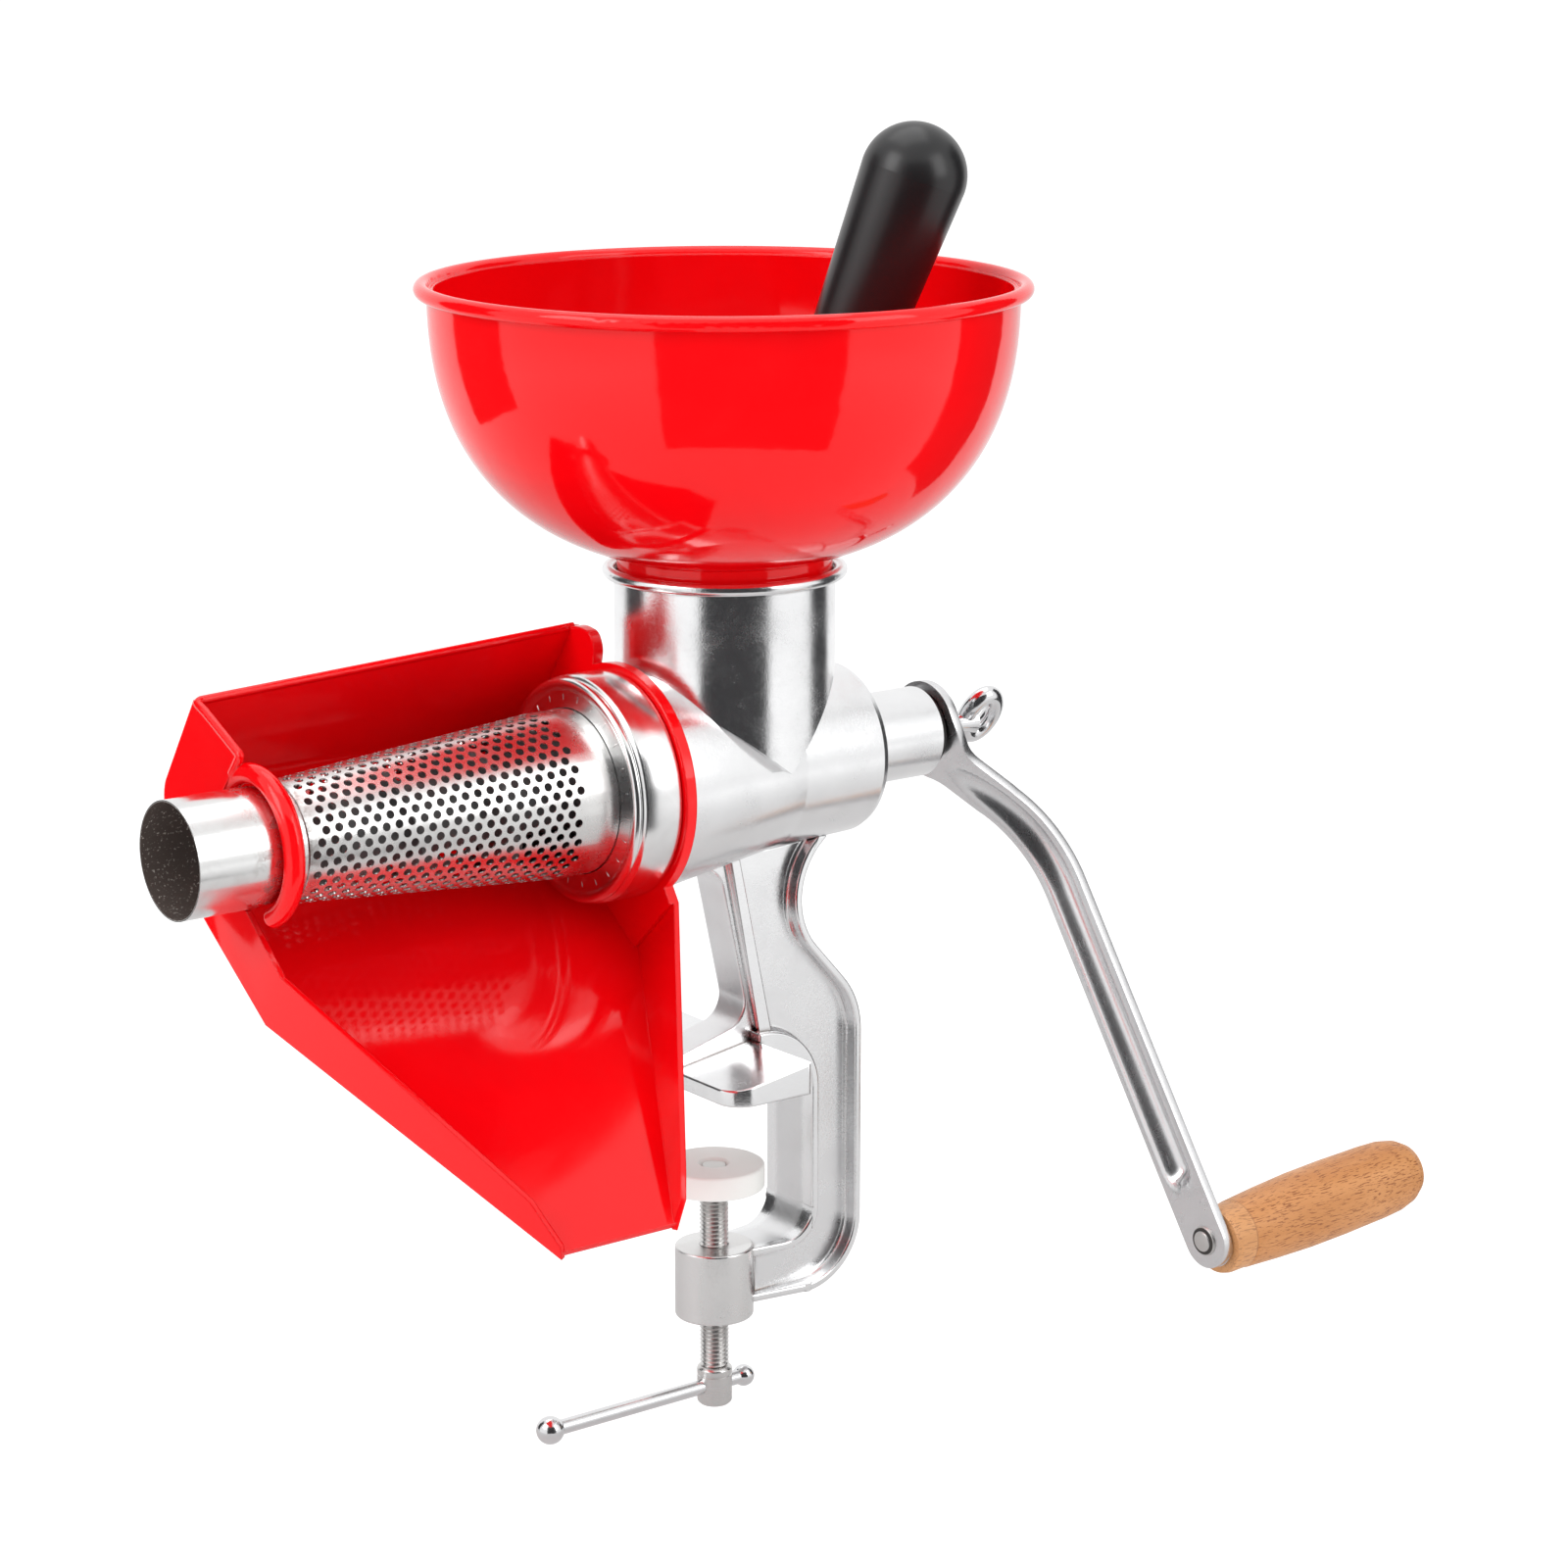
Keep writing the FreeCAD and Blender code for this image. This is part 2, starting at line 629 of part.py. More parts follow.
def crank_face_x():
    return BOSS_END_X + SEAL_THICKNESS + FREE_GAP


def auger_shaft():
    face = crank_face_x()
    end = face + CRANK_THICKNESS
    shaft = rod(SHAFT_R, Vector(SHAFT_FRONT_X, 0, 0), Vector(face, 0, 0))
    half = DRIVE_SQUARE / 2
    square = Part.makeBox(end - face, DRIVE_SQUARE, DRIVE_SQUARE, Vector(face, -half, -half))
    square.rotate(ORIGIN, X_AXIS, CRANK_ANGLE)
    tapped = rod(SCREW_STEM_R, Vector(end - SCREW_DEPTH, 0, 0), Vector(end + 1, 0, 0))
    return shaft.fuse(square).cut(tapped)


def rear_bushing():
    inner_end = BARREL_REAR_X - REAR_WALL
    bush = rod(BUSH_R, Vector(inner_end, 0, 0), Vector(BOSS_END_X, 0, 0))
    flange = rod(BUSH_FLANGE_R, Vector(inner_end - BUSH_FLANGE, 0, 0), Vector(inner_end, 0, 0))
    bore = rod(SHAFT_R + RUN_GAP, Vector(0, 0, 0), Vector(BOSS_END_X + 1, 0, 0))
    return bush.fuse(flange).cut(bore)


def auger_spring():
    """Coil spring between the auger and the flange of the rear bushing."""
    start = AUGER_REAR_X + SPRING_WIRE
    end = BARREL_REAR_X - REAR_WALL - BUSH_FLANGE - SPRING_WIRE - FREE_GAP
    length = end - start
    helix = Part.makeHelix(length / SPRING_TURNS, length, SPRING_R)
    ring = Part.makeCircle(SPRING_WIRE, Vector(SPRING_R, 0, 0), Y_AXIS)
    coil = Part.Wire(helix.Edges).makePipeShell([Part.Wire(ring)], True, True)
    coil.rotate(ORIGIN, Y_AXIS, 90)
    coil.translate(Vector(start, 0, 0))
    return coil


def shaft_seal():
    end = BOSS_END_X + SEAL_THICKNESS
    return rod(SEAL_R, Vector(BOSS_END_X, 0, 0), Vector(end, 0, 0)).cut(
        rod(SHAFT_R + RUN_GAP, Vector(BOSS_END_X - 1, 0, 0), Vector(end + 1, 0, 0)))


# ---------------------------------------------------------------- crank and grip

def arm_direction():
    turn = math.radians(CRANK_ANGLE)
    return Vector(0, -math.sin(turn), -math.cos(turn))


def on_arm(x, along):
    """A point in the plane of the crank, from its distance along the arm."""
    return Vector(x, 0, 0) + arm_direction() * along


def arm_width_axis():
    return X_AXIS.cross(arm_direction())


def arm_corners():
    mid = crank_face_x() + CRANK_THICKNESS / 2
    return [(mid, -HUB_R), (mid, BEND_START), (mid + BEND_REACH, BEND_END),
            (mid + BEND_REACH + ARM_SPLAY, ARM_RADIUS + ARM_END_R)]


def arm_rounds():
    return [INNER_BEND_R, OUTER_BEND_R]


def splay_angle():
    return math.atan2(ARM_SPLAY, ARM_RADIUS + ARM_END_R - BEND_END)


def arm_plan():
    """Plan outline of the arm: round hub, straight sides and round end."""
    width = arm_width_axis()
    start = crank_face_x() - 20
    depth = X_AXIS * 90
    hub = Part.makeCylinder(HUB_R, depth.Length, Vector(start, 0, 0), X_AXIS)
    end_at = on_arm(start, ARM_RADIUS - ARM_END_BACK)
    end = Part.makeCylinder(ARM_END_R, depth.Length, end_at, X_AXIS)
    half = ARM_WIDTH / 2
    corners = [on_arm(start, 0) + width * half, end_at + width * half,
               end_at - width * half, on_arm(start, 0) - width * half]
    return hub.fuse(slab(corners, depth.Length, X_AXIS)).fuse(end)


def arm_sweep(low, high, half):
    face = ribbon_face(arm_corners(), arm_rounds(), low, high, on_arm)
    width = arm_width_axis()
    face.translate(width * -half)
    return face.extrude(width * (2 * half))


def channel_tool(radius, start, end):
    """A round bar along the inner face of the arm, with round ends."""
    face_offset = CRANK_THICKNESS / 2
    path = rounded_path(arm_corners(), arm_rounds(), face_offset)
    edges = draw(path, on_arm)
    wire = Part.Wire(edges)
    first = path[0][1]
    circle = Part.Wire(Part.makeCircle(radius, on_arm(*first), arm_direction()))
    pipe = wire.makePipeShell([circle], True, False)
    keep = Part.makeBox(TOOL, TOOL, end - start, Vector(-TOOL / 2, -TOOL / 2, start))
    keep.rotate(ORIGIN, X_AXIS, 180 - CRANK_ANGLE)
    return pipe.common(keep)


def crank_arm():
    half = CRANK_THICKNESS / 2
    plate = arm_sweep(-half, half, HUB_R + 1).common(arm_plan())
    bump = channel_tool(CHANNEL_R + CHANNEL_SHEET, CHANNEL_START, CHANNEL_END)
    bump = bump.cut(arm_sweep(half, half + CHANNEL_R + CHANNEL_SHEET + 1, HUB_R))
    groove = channel_tool(CHANNEL_R, CHANNEL_START + CHANNEL_SHEET, CHANNEL_END - CHANNEL_SHEET)
    arm = plate.fuse(bump).cut(groove)
    square_half = DRIVE_SQUARE / 2
    face = crank_face_x()
    corner = Vector(face - 1, -square_half, -square_half)
    square = Part.makeBox(CRANK_THICKNESS + 2, DRIVE_SQUARE, DRIVE_SQUARE, corner)
    square.rotate(ORIGIN, X_AXIS, CRANK_ANGLE)
    inner, outer = grip_axis_points(-5, 5)
    return arm.cut(square).cut(rod(SPINDLE_R, inner, outer))


def grip_axis():
    turn = splay_angle()
    return X_AXIS * math.cos(turn) - arm_direction() * math.sin(turn)


def grip_root():
    """Where the grip axis meets the middle of the arm's sheet."""
    corners = arm_corners()
    share = (ARM_RADIUS - BEND_END) / (corners[3][1] - BEND_END)
    return on_arm(corners[2][0] + share * ARM_SPLAY, ARM_RADIUS)


def grip_axis_points(start, end):
    return grip_root() + grip_axis() * start, grip_root() + grip_axis() * end


def about_grip(profile):
    """Turn a profile of (distance from the arm's middle, radius) about the grip axis."""
    shape = turned(profile, X_AXIS)
    shape.rotate(ORIGIN, arm_width_axis(), -math.degrees(splay_angle()))
    shape.translate(grip_root())
    return shape


def grip_base():
    return CRANK_THICKNESS / 2 + GRIP_WASHER + FREE_GAP


def grip():
    """Beech grip, bored for the spindle and recessed for its head."""
    base = grip_base()
    profile = [(base, 0)]
    profile += [(base + share * GRIP_LENGTH, radius) for share, radius in GRIP_SHAPE]
    profile.append((base + GRIP_LENGTH, 0))
    bore_r = SPINDLE_R + RUN_GAP
    end = base + GRIP_LENGTH
    seat = end - GRIP_RECESS
    bore = [(base - 1, 0), (base - 1, bore_r), (seat, bore_r), (seat, SPINDLE_HEAD_R + FREE_GAP),
            (end + 1, SPINDLE_HEAD_R + FREE_GAP), (end + 1, 0)]
    return about_grip(profile).cut(about_grip(bore))


def grip_spindle():
    """Steel pin riveted through the arm, with a head inside the end of the grip."""
    half = CRANK_THICKNESS / 2
    seat = grip_base() + GRIP_LENGTH - GRIP_RECESS + FREE_GAP
    profile = [
        (-half - RIVET_HEAD, 0), (-half - RIVET_HEAD, RIVET_HEAD_R - 1.0),
        (-half - RIVET_HEAD * 0.5, RIVET_HEAD_R),
        (-half, RIVET_HEAD_R), (-half, SPINDLE_R), (seat, SPINDLE_R), (seat, SPINDLE_HEAD_R),
        (seat + SPINDLE_HEAD * 0.6, SPINDLE_HEAD_R), (seat + SPINDLE_HEAD, SPINDLE_HEAD_R - 1.5),
        (seat + SPINDLE_HEAD, 0)]
    return about_grip(profile)


def grip_washer():
    half = CRANK_THICKNESS / 2
    profile = [(half, SPINDLE_R), (half, GRIP_WASHER_R), (half + GRIP_WASHER, GRIP_WASHER_R),
               (half + GRIP_WASHER, SPINDLE_R)]
    return about_grip(profile)


def eye_screw():
    """Thumb screw with a round pierced head that holds the crank on its shaft."""
    face = crank_face_x() + CRANK_THICKNESS
    eye_x = face + EYE_REACH
    stem = rod(SCREW_STEM_R, Vector(face - SCREW_DEPTH + 1, 0, 0), Vector(face + 1, 0, 0))
    collar = turned([(face, 0), (face, SCREW_STEM_R + RUN_GAP * 2), (face + SCREW_DISH, SCREW_COLLAR_R),
                     (face + SCREW_COLLAR, SCREW_COLLAR_R), (face + SCREW_COLLAR, 0)], X_AXIS)
    shank = turned([(face + SCREW_COLLAR, 0), (face + SCREW_COLLAR, SCREW_COLLAR_R * 0.75),
                    (eye_x - EYE_R + 2, EYE_THICKNESS * 0.55), (eye_x - EYE_R + 2, 0)], X_AXIS)
    half = EYE_THICKNESS / 2
    eye = Part.makeCylinder(EYE_R, EYE_THICKNESS, Vector(eye_x, -half, 0), Y_AXIS)
    eye = eye.makeFillet(half * 0.6, eye.Edges)
    hole = Part.makeCylinder(EYE_HOLE_R, EYE_THICKNESS + 2, Vector(eye_x, -half - 1, 0), Y_AXIS)
    screw = stem.multiFuse([collar, shank, eye]).cut(hole)
    screw.rotate(ORIGIN, X_AXIS, EYE_TURN)
    return screw


# ---------------------------------------------------------------- hopper and pestle

def bowl_curve(radius, depth):
    """Full-sided bowl profile from its neck out to its rim."""
    points = []
    first = math.acos((NECK_FLARE_R / radius) ** (HOPPER_POWER / 2))
    steps = 9
    for i in range(steps + 1):
        angle = first * (1 - i / steps)
        r = radius * math.cos(angle) ** (2 / HOPPER_POWER)
        drop = depth * math.sin(angle) ** (2 / HOPPER_POWER) if angle > 0 else 0
        points.append(Vector(r, 0, HOPPER_RIM_Z - drop))
    return points


def bowl_solid(radius, depth, neck_r, flare_r, bottom_z):
    curve_points = bowl_curve(radius, depth)
    curve = Part.BSplineCurve()
    curve.interpolate(curve_points)
    start = curve_points[0]
    corners = [start, Vector(flare_r, 0, NECK_FLARE_Z), Vector(neck_r, 0, NECK_STEP_Z),
               Vector(neck_r, 0, bottom_z), Vector(0, 0, bottom_z),
               Vector(0, 0, HOPPER_RIM_Z), curve_points[-1]]
    edges = [curve.toShape()]
    for a, b in zip(corners, corners[1:]):
        edges.append(Part.makeLine(a, b))
    wire = Part.Wire(Part.__sortEdges__(edges))
    return Part.Face(wire).revolve(ORIGIN, Z_AXIS, 360)


def hopper_bowl():
    outside = bowl_solid(HOPPER_R, HOPPER_DEPTH, NECK_R, NECK_FLARE_R, NECK_END_Z)
    inside = bowl_solid(HOPPER_R - HOPPER_WALL, HOPPER_DEPTH - HOPPER_WALL, NECK_R - HOPPER_WALL,
                        NECK_FLARE_R - HOPPER_WALL, NECK_END_Z - 1)
    bead = Part.makeTorus(HOPPER_R + RIM_BEAD_OUT, RIM_BEAD_R, Vector(0, 0, HOPPER_RIM_Z))
    return outside.fuse(bead).cut(inside)


def pestle_axis():
    lean = math.radians(PESTLE_LEAN)
    bearing = math.radians(PESTLE_BEARING)
    return Vector(math.sin(lean) * math.cos(bearing), math.sin(lean) * math.sin(bearing), math.cos(lean))


def pestle_dome_centre():
    bearing = math.radians(PESTLE_BEARING)
    along = Vector(math.cos(bearing), math.sin(bearing), 0)
    across = Vector(-math.sin(bearing), math.cos(bearing), 0)
    return along * PESTLE_DOME_OFFSET + across * PESTLE_SIDE_SHIFT + Vector(0, 0, PESTLE_DOME_Z)


def pestle_length():
    return (PESTLE_DOME_Z - PESTLE_END_Z) / math.cos(math.radians(PESTLE_LEAN))


def along_pestle(shape):
    """Move a shape drawn down from the dome centre along -Z onto the leaning axis."""
    bearing = math.radians(PESTLE_BEARING)
    shape.rotate(ORIGIN, Vector(-math.sin(bearing), math.cos(bearing), 0), PESTLE_LEAN)
    shape.translate(pestle_dome_centre())
    return shape


def pestle_radius(down):
    return PESTLE_DOME_R - down * math.tan(math.radians(PESTLE_HALF_TAPER))


def pestle_body():
    """Tapered hollow pestle, open at the top where the cap closes it."""
    length = pestle_length()
    end_r = pestle_radius(length)
    round_r = PESTLE_END_ROUND
    top = -PESTLE_CAP_LENGTH
    outside = [(-length, 0), (-length, end_r - round_r), (-length + round_r * 0.3, end_r - round_r * 0.3),
               (-length + round_r, end_r), (top, pestle_radius(-top)), (top, 0)]
    floor = -length + PESTLE_WALL * 2
    hollow = [(floor, 0), (floor, end_r - PESTLE_WALL),
              (top + 1, pestle_radius(-top) - PESTLE_WALL), (top + 1, 0)]
    return along_pestle(turned(outside, Z_AXIS).cut(turned(hollow, Z_AXIS)))


def pestle_cap():
    """Domed cap with a plug that fits the bore of the pestle."""
    top = -PESTLE_CAP_LENGTH
    ball = Part.makeSphere(PESTLE_DOME_R, ORIGIN)
    span = PESTLE_DOME_R * 2
    upper = ball.common(Part.makeBox(span, span, span, Vector(-span / 2, -span / 2, 0)))
    skirt = turned([(top, 0), (top, pestle_radius(-top)), (0, PESTLE_DOME_R), (0, 0)], Z_AXIS)
    plug_end = top - PLUG_LENGTH
    plug_r = pestle_radius(-plug_end) - PESTLE_WALL - RUN_GAP
    plug = turned([(plug_end, 0), (plug_end, plug_r - PLUG_TAPER), (top, plug_r), (top, 0)], Z_AXIS)
    return along_pestle(fuse_all([upper, skirt, plug]))


# ---------------------------------------------------------------- drip tray

def in_yz(x):
    return lambda y, z: Vector(x, y, z)


def tray_corners():
    up = unit(TRAY_BACK, TRAY_TOP_RIGHT)
    top = (TRAY_TOP_RIGHT[0] + up[0] * 4, TRAY_TOP_RIGHT[1] + up[1] * 4)
    return [top, TRAY_BACK, TRAY_BOTTOM, TRAY_LIP]


def floor_slope():
    return math.atan2(TRAY_BOTTOM[1] - TRAY_LIP[1], TRAY_BOTTOM[0] - TRAY_LIP[0])


def floor_z(y):
    """Height of the slide's inner face."""
    return TRAY_LIP[1] + math.tan(floor_slope()) * (y - TRAY_LIP[0])


def below_floor(y):
    """Height of the slide's underside."""
    return floor_z(y) - SHEET_TRAY / math.cos(floor_slope())


def tray_sheet():
    """Back panel and slide in one bent sheet, trimmed to its tapering plan and sloping top edge."""
    rounds = [TRAY_BACK_ROUND, TRAY_BOTTOM_ROUND]
    face = ribbon_face(tray_corners(), rounds, 0, SHEET_TRAY, in_yz(TRAY_LEFT_X))
    sheet = face.extrude(X_AXIS * (TRAY_RIGHT_X - TRAY_LEFT_X))
    for wide_x, lip_x, beyond in ((TRAY_LEFT_X, LIP_LEFT_X, -5), (TRAY_RIGHT_X, LIP_RIGHT_X, 5)):
        taper = [(wide_x, TRAY_TURN_Y), (lip_x, TRAY_LIP[0] - 0.01), (lip_x, TRAY_LIP[0] - 20),
                 (wide_x + beyond, TRAY_LIP[0] - 20), (wide_x + beyond, TRAY_TURN_Y)]
        sheet = sheet.cut(slab([Vector(x, y, -TOOL / 2) for x, y in taper], TOOL, Z_AXIS))
    over = [(TRAY_LEFT_X - 1, TRAY_TOP_LEFT[1]), (TRAY_RIGHT_X + 1, TRAY_TOP_RIGHT[1]),
            (TRAY_RIGHT_X + 1, TOOL / 2), (TRAY_LEFT_X - 1, TOOL / 2)]
    return sheet.cut(slab([Vector(x, -TOOL / 2, z) for x, z in over], TOOL, Y_AXIS))


def x_on_plane(a, b, c, y, z):
    """The point of the plane through three points that has a given y and z."""
    normal = (b - a).cross(c - a)
    x = a.x - (normal.y * (y - a.y) + normal.z * (z - a.z)) / normal.x
    return Vector(x, y, z)


def slanted_wall(wide_x, lip_x, rim, rim_end, inward):
    """Flat side wall of the slide, from the turn of the plan to the lip."""
    foot = Vector(wide_x, TRAY_TURN_Y, below_floor(TRAY_TURN_Y))
    lip = Vector(lip_x, TRAY_LIP[0], below_floor(TRAY_LIP[0]))
    top = Vector(wide_x, rim[0], rim[1])
    ends = [x_on_plane(foot, lip, top, y, z) for y, z in reversed(rim_end)]
    normal = (lip - foot).cross(top - foot)
    normal.normalize()
    if normal.dot(inward) < 0:
        normal = normal * -1
    return slab([foot, lip] + ends + [top], SHEET_TRAY, normal)


def filled_profile(top, front, x):
    """Face between the bent sheet's outside and a front outline, top to bottom."""
    back = rounded_path(tray_corners(), [TRAY_BACK_ROUND, TRAY_BOTTOM_ROUND], SHEET_TRAY)
    turn = (TRAY_TURN_Y, below_floor(TRAY_TURN_Y))
    back[0] = ("line", top, back[0][2])
    back[-1] = ("line", back[-1][1], turn)
    stops = [turn] + list(reversed(front)) + [top]
    outline = back + [("line", a, b) for a, b in zip(stops, stops[1:])]
    return Part.Face(Part.Wire(draw(outline, in_yz(x))))


def left_end_wall():
    """End wall with a notch that the outlet tube passes through."""
    below_notch = (TRAY_NOTCH_R * 0.07, -TRAY_NOTCH_R - 0.1)
    front = list(LEFT_END_RIM) + [(0, 0), below_notch, LEFT_RIM]
    plate = filled_profile(TRAY_TOP_LEFT, front, TRAY_LEFT_X).extrude(X_AXIS * SHEET_TRAY)
    return plate.cut(rod(TRAY_NOTCH_R, Vector(TRAY_LEFT_X - 1, 0, 0), Vector(TRAY_LEFT_X + 5, 0, 0)))


def right_end_wall():
    """End wall that carries the mounting ring round the barrel mouth."""
    start = Vector(TRAY_RIGHT_X - TRAY_RING_WIDTH, 0, 0)
    front = list(RIGHT_END_RIM) + [RIGHT_RIM]
    plate = filled_profile(TRAY_TOP_RIGHT, front, start.x).extrude(X_AXIS * TRAY_RING_WIDTH)
    ring = rod(TRAY_RING_R, start, start + X_AXIS * TRAY_RING_WIDTH)
    hole = rod(MOUTH_R + TRAY_GAP, start - X_AXIS, start + X_AXIS * (TRAY_RING_WIDTH + 1))
    return plate.fuse(ring), hole


def tray_hook():
    """Open hook that hangs the tray on the outlet tube."""
    ring = Part.makeTorus(HOOK_R, HOOK_WIRE_R, ORIGIN, Z_AXIS, 0, 360, HOOK_SWEEP)
    ring.rotate(ORIGIN, Y_AXIS, 90)
    ring.rotate(ORIGIN, X_AXIS, HOOK_START + 90)
    ring.translate(Vector(HOOK_X, 0, 0))
    tip = math.radians(HOOK_START + HOOK_SWEEP)
    ball = Part.makeSphere(HOOK_WIRE_R + 0.01, Vector(HOOK_X, HOOK_R * math.cos(tip), HOOK_R * math.sin(tip)))
    return ring, ball


def drip_tray():
    ends, hole = right_end_wall()
    walls = [
        slanted_wall(TRAY_LEFT_X, LIP_LEFT_X, LEFT_RIM, LEFT_RIM_END, X_AXIS),
        slanted_wall(TRAY_RIGHT_X, LIP_RIGHT_X, RIGHT_RIM, RIGHT_RIM_END, X_AXIS * -1),
        left_end_wall(), ends]
    ring, ball = tray_hook()
    whole = tray_sheet().multiFuse(walls + [ring, ball])
    return whole.cut(hole)


# ---------------------------------------------------------------- clamp screw

def screw_point(z):
    return Vector(SCREW_X, 0, z)


def clamp_pad():
    bottom = PAD_TOP_Z - PAD_THICKNESS
    pad = rod(PAD_R, screw_point(bottom), screw_point(PAD_TOP_Z))
    rims = [edge for edge in pad.Edges if edge.Closed and isinstance(edge.Curve, Part.Circle)]
    pad = pad.makeFillet(0.8, rims)
    bore = rod(NOSE_R + RUN_GAP, screw_point(bottom - 1), screw_point(PAD_TOP_Z + 1))
    deep = screw_point(PAD_TOP_Z - PAD_SINK)
    sink = Part.makeCone(NOSE_R + RUN_GAP, PAD_SINK_R + 0.3, PAD_SINK + 0.3, deep)
    return pad.cut(bore).cut(sink)


def pad_rivet():
    """Peened end of the screw nose, below the face of the pad."""
    drop = PAD_TOP_Z - PAD_SINK + FREE_GAP
    return Part.makeCone(NOSE_R, PAD_SINK_R - 0.6, PAD_SINK - FREE_GAP - 0.8, screw_point(drop))


def clamp_screw():
    shoulder = PAD_TOP_Z - PAD_THICKNESS - FREE_GAP
    nose = rod(NOSE_R, screw_point(shoulder), screw_point(PAD_TOP_Z - PAD_SINK + FREE_GAP))
    thread = rod(SCREW_R, screw_point(HEAD_TOP_Z), screw_point(shoulder))
    head = rod(HEAD_R, screw_point(HEAD_TOP_Z - HEAD_LENGTH), screw_point(HEAD_TOP_Z))
    middle = HEAD_TOP_Z - HEAD_LENGTH / 2
    bore = rod(BAR_R + RUN_GAP, screw_point(middle) - X_AXIS * 10, screw_point(middle) + X_AXIS * 10)
    return nose.multiFuse([thread, head]).cut(bore)


def bar_height():
    return HEAD_TOP_Z - HEAD_LENGTH / 2


def tommy_bar():
    z = bar_height()
    start = BAR_LEFT_X + BIG_BALL_R * 0.6
    end = BAR_RIGHT_X - SMALL_BALL_R * 0.6
    return rod(BAR_R, Vector(start, 0, z), Vector(end, 0, z))


def bar_knobs():
    """The ball at each end of the bar, bored to take it."""
    z = bar_height()
    knobs = []
    for x, radius in ((BAR_LEFT_X, BIG_BALL_R), (BAR_RIGHT_X, SMALL_BALL_R)):
        ball = Part.makeSphere(radius, Vector(x, 0, z))
        knobs.append(ball.cut(tommy_bar()))
    return Part.makeCompound(knobs)


# ---------------------------------------------------------------- all pieces

PIECES = {
    "body_casting": body_casting,
    "clamp_frame": clamp_frame,
    "ring_nut": ring_nut,
    "mouth_gasket": mouth_gasket,
    "screen_flange": screen_flange,
    "screen_cone": screen_cone,
    "outlet_tube": outlet_tube,
    "auger": auger,
    "auger_shaft": auger_shaft,
    "auger_spring": auger_spring,
    "rear_bushing": rear_bushing,
    "shaft_seal": shaft_seal,
    "crank_arm": crank_arm,
    "eye_screw": eye_screw,
    "grip": grip,
    "grip_spindle": grip_spindle,
    "grip_washer": grip_washer,
    "hopper_bowl": hopper_bowl,
    "pestle_body": pestle_body,
    "pestle_cap": pestle_cap,
    "drip_tray": drip_tray,
    "clamp_pad": clamp_pad,
    "pad_rivet": pad_rivet,
    "clamp_screw": clamp_screw,
    "tommy_bar": tommy_bar,
    "bar_knobs": bar_knobs,
}


def main():
    os.makedirs("parts", exist_ok=True)
    for name, make in PIECES.items():
        shape = make()
        shape.translate(Vector(-SCREW_X, 0, AXIS_HEIGHT))
        shape.exportStep("parts/%s.step" % name)


main()
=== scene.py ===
"""Looks of a hand-cranked tomato strainer, laid out as a Blender add-on and run as a script.

Everything is in metres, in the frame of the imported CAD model. Lengths named _MM are in millimetres
about the barrel's axis, with X towards the crank and Z up the chute; place() moves them to the model.
"""

from math import atan2, cos, degrees, hypot, pi, radians, sin, sqrt, tan

import bmesh
import bpy
from mathutils import Matrix, Vector


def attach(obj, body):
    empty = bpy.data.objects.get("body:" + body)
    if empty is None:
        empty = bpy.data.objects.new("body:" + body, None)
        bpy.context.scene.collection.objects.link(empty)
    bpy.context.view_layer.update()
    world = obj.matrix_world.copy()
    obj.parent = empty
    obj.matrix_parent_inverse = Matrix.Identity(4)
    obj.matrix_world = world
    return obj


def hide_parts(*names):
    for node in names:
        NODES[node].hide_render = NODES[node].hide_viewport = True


bl_info = {
    "name": "Tomato strainer",
    "version": (1, 0, 0),
    "blender": (4, 5, 0),
    "location": "View3D > Sidebar > Strainer",
    "description": "Dresses the CAD model of a hand-cranked tomato strainer",
    "category": "Object",
}

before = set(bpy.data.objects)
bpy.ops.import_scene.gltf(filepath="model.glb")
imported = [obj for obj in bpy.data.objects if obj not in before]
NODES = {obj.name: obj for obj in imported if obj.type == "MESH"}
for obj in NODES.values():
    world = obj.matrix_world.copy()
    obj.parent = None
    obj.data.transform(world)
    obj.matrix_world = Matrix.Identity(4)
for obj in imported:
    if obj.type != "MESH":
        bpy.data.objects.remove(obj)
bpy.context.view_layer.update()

MM = 0.001
AXIS = Vector((0.0052, 0.0, 0.105))         # a point on the barrel's axis
SCREW_X_MM = -5.2
FULL_TURN = 2 * pi
SAME_POINT = 1e-6         # points nearer than this, in metres, are one
CAD_POINT = 1e-5

# camera
CAMERA_PLACE = (-0.7783, -1.0542, 0.4186)
CAMERA_BACK = (-0.5910, -0.7710, 0.2370)
CAMERA_ROLL = radians(0.06)
CAMERA_LENS = 93.46
SENSOR = 36.0


# ---- places and meshes

def place(x, y, z):
    """A point given in millimetres about the barrel's axis, in the model's frame."""
    return Vector((x * MM, y * MM, z * MM)) + AXIS


def deselect():
    if bpy.context.object and bpy.context.object.mode != "OBJECT":
        bpy.ops.object.mode_set(mode="OBJECT")
    bpy.ops.object.select_all(action="DESELECT")


def take(obj):
    """Make obj the only selected and the active object."""
    deselect()
    obj.select_set(True)
    bpy.context.view_layer.objects.active = obj
    return obj


def edit(obj, kind="VERT"):
    take(obj)
    bpy.ops.object.mode_set(mode="EDIT")
    bpy.ops.mesh.select_mode(type=kind)


def done():
    bpy.ops.object.mode_set(mode="OBJECT")


def pick_all():
    bpy.ops.mesh.select_all(action="SELECT")


def added(name):
    obj = bpy.context.object
    obj.name = obj.data.name = name
    return obj


def settle(obj):
    """Put the object's place into its mesh."""
    take(obj)
    bpy.ops.object.transform_apply(location=True, rotation=True, scale=True)
    return obj


def primitive(name, kind, **settings):
    """A new mesh primitive, its place put into its mesh."""
    deselect()
    getattr(bpy.ops.mesh, "primitive_%s_add" % kind)(**settings)
    return settle(added(name))


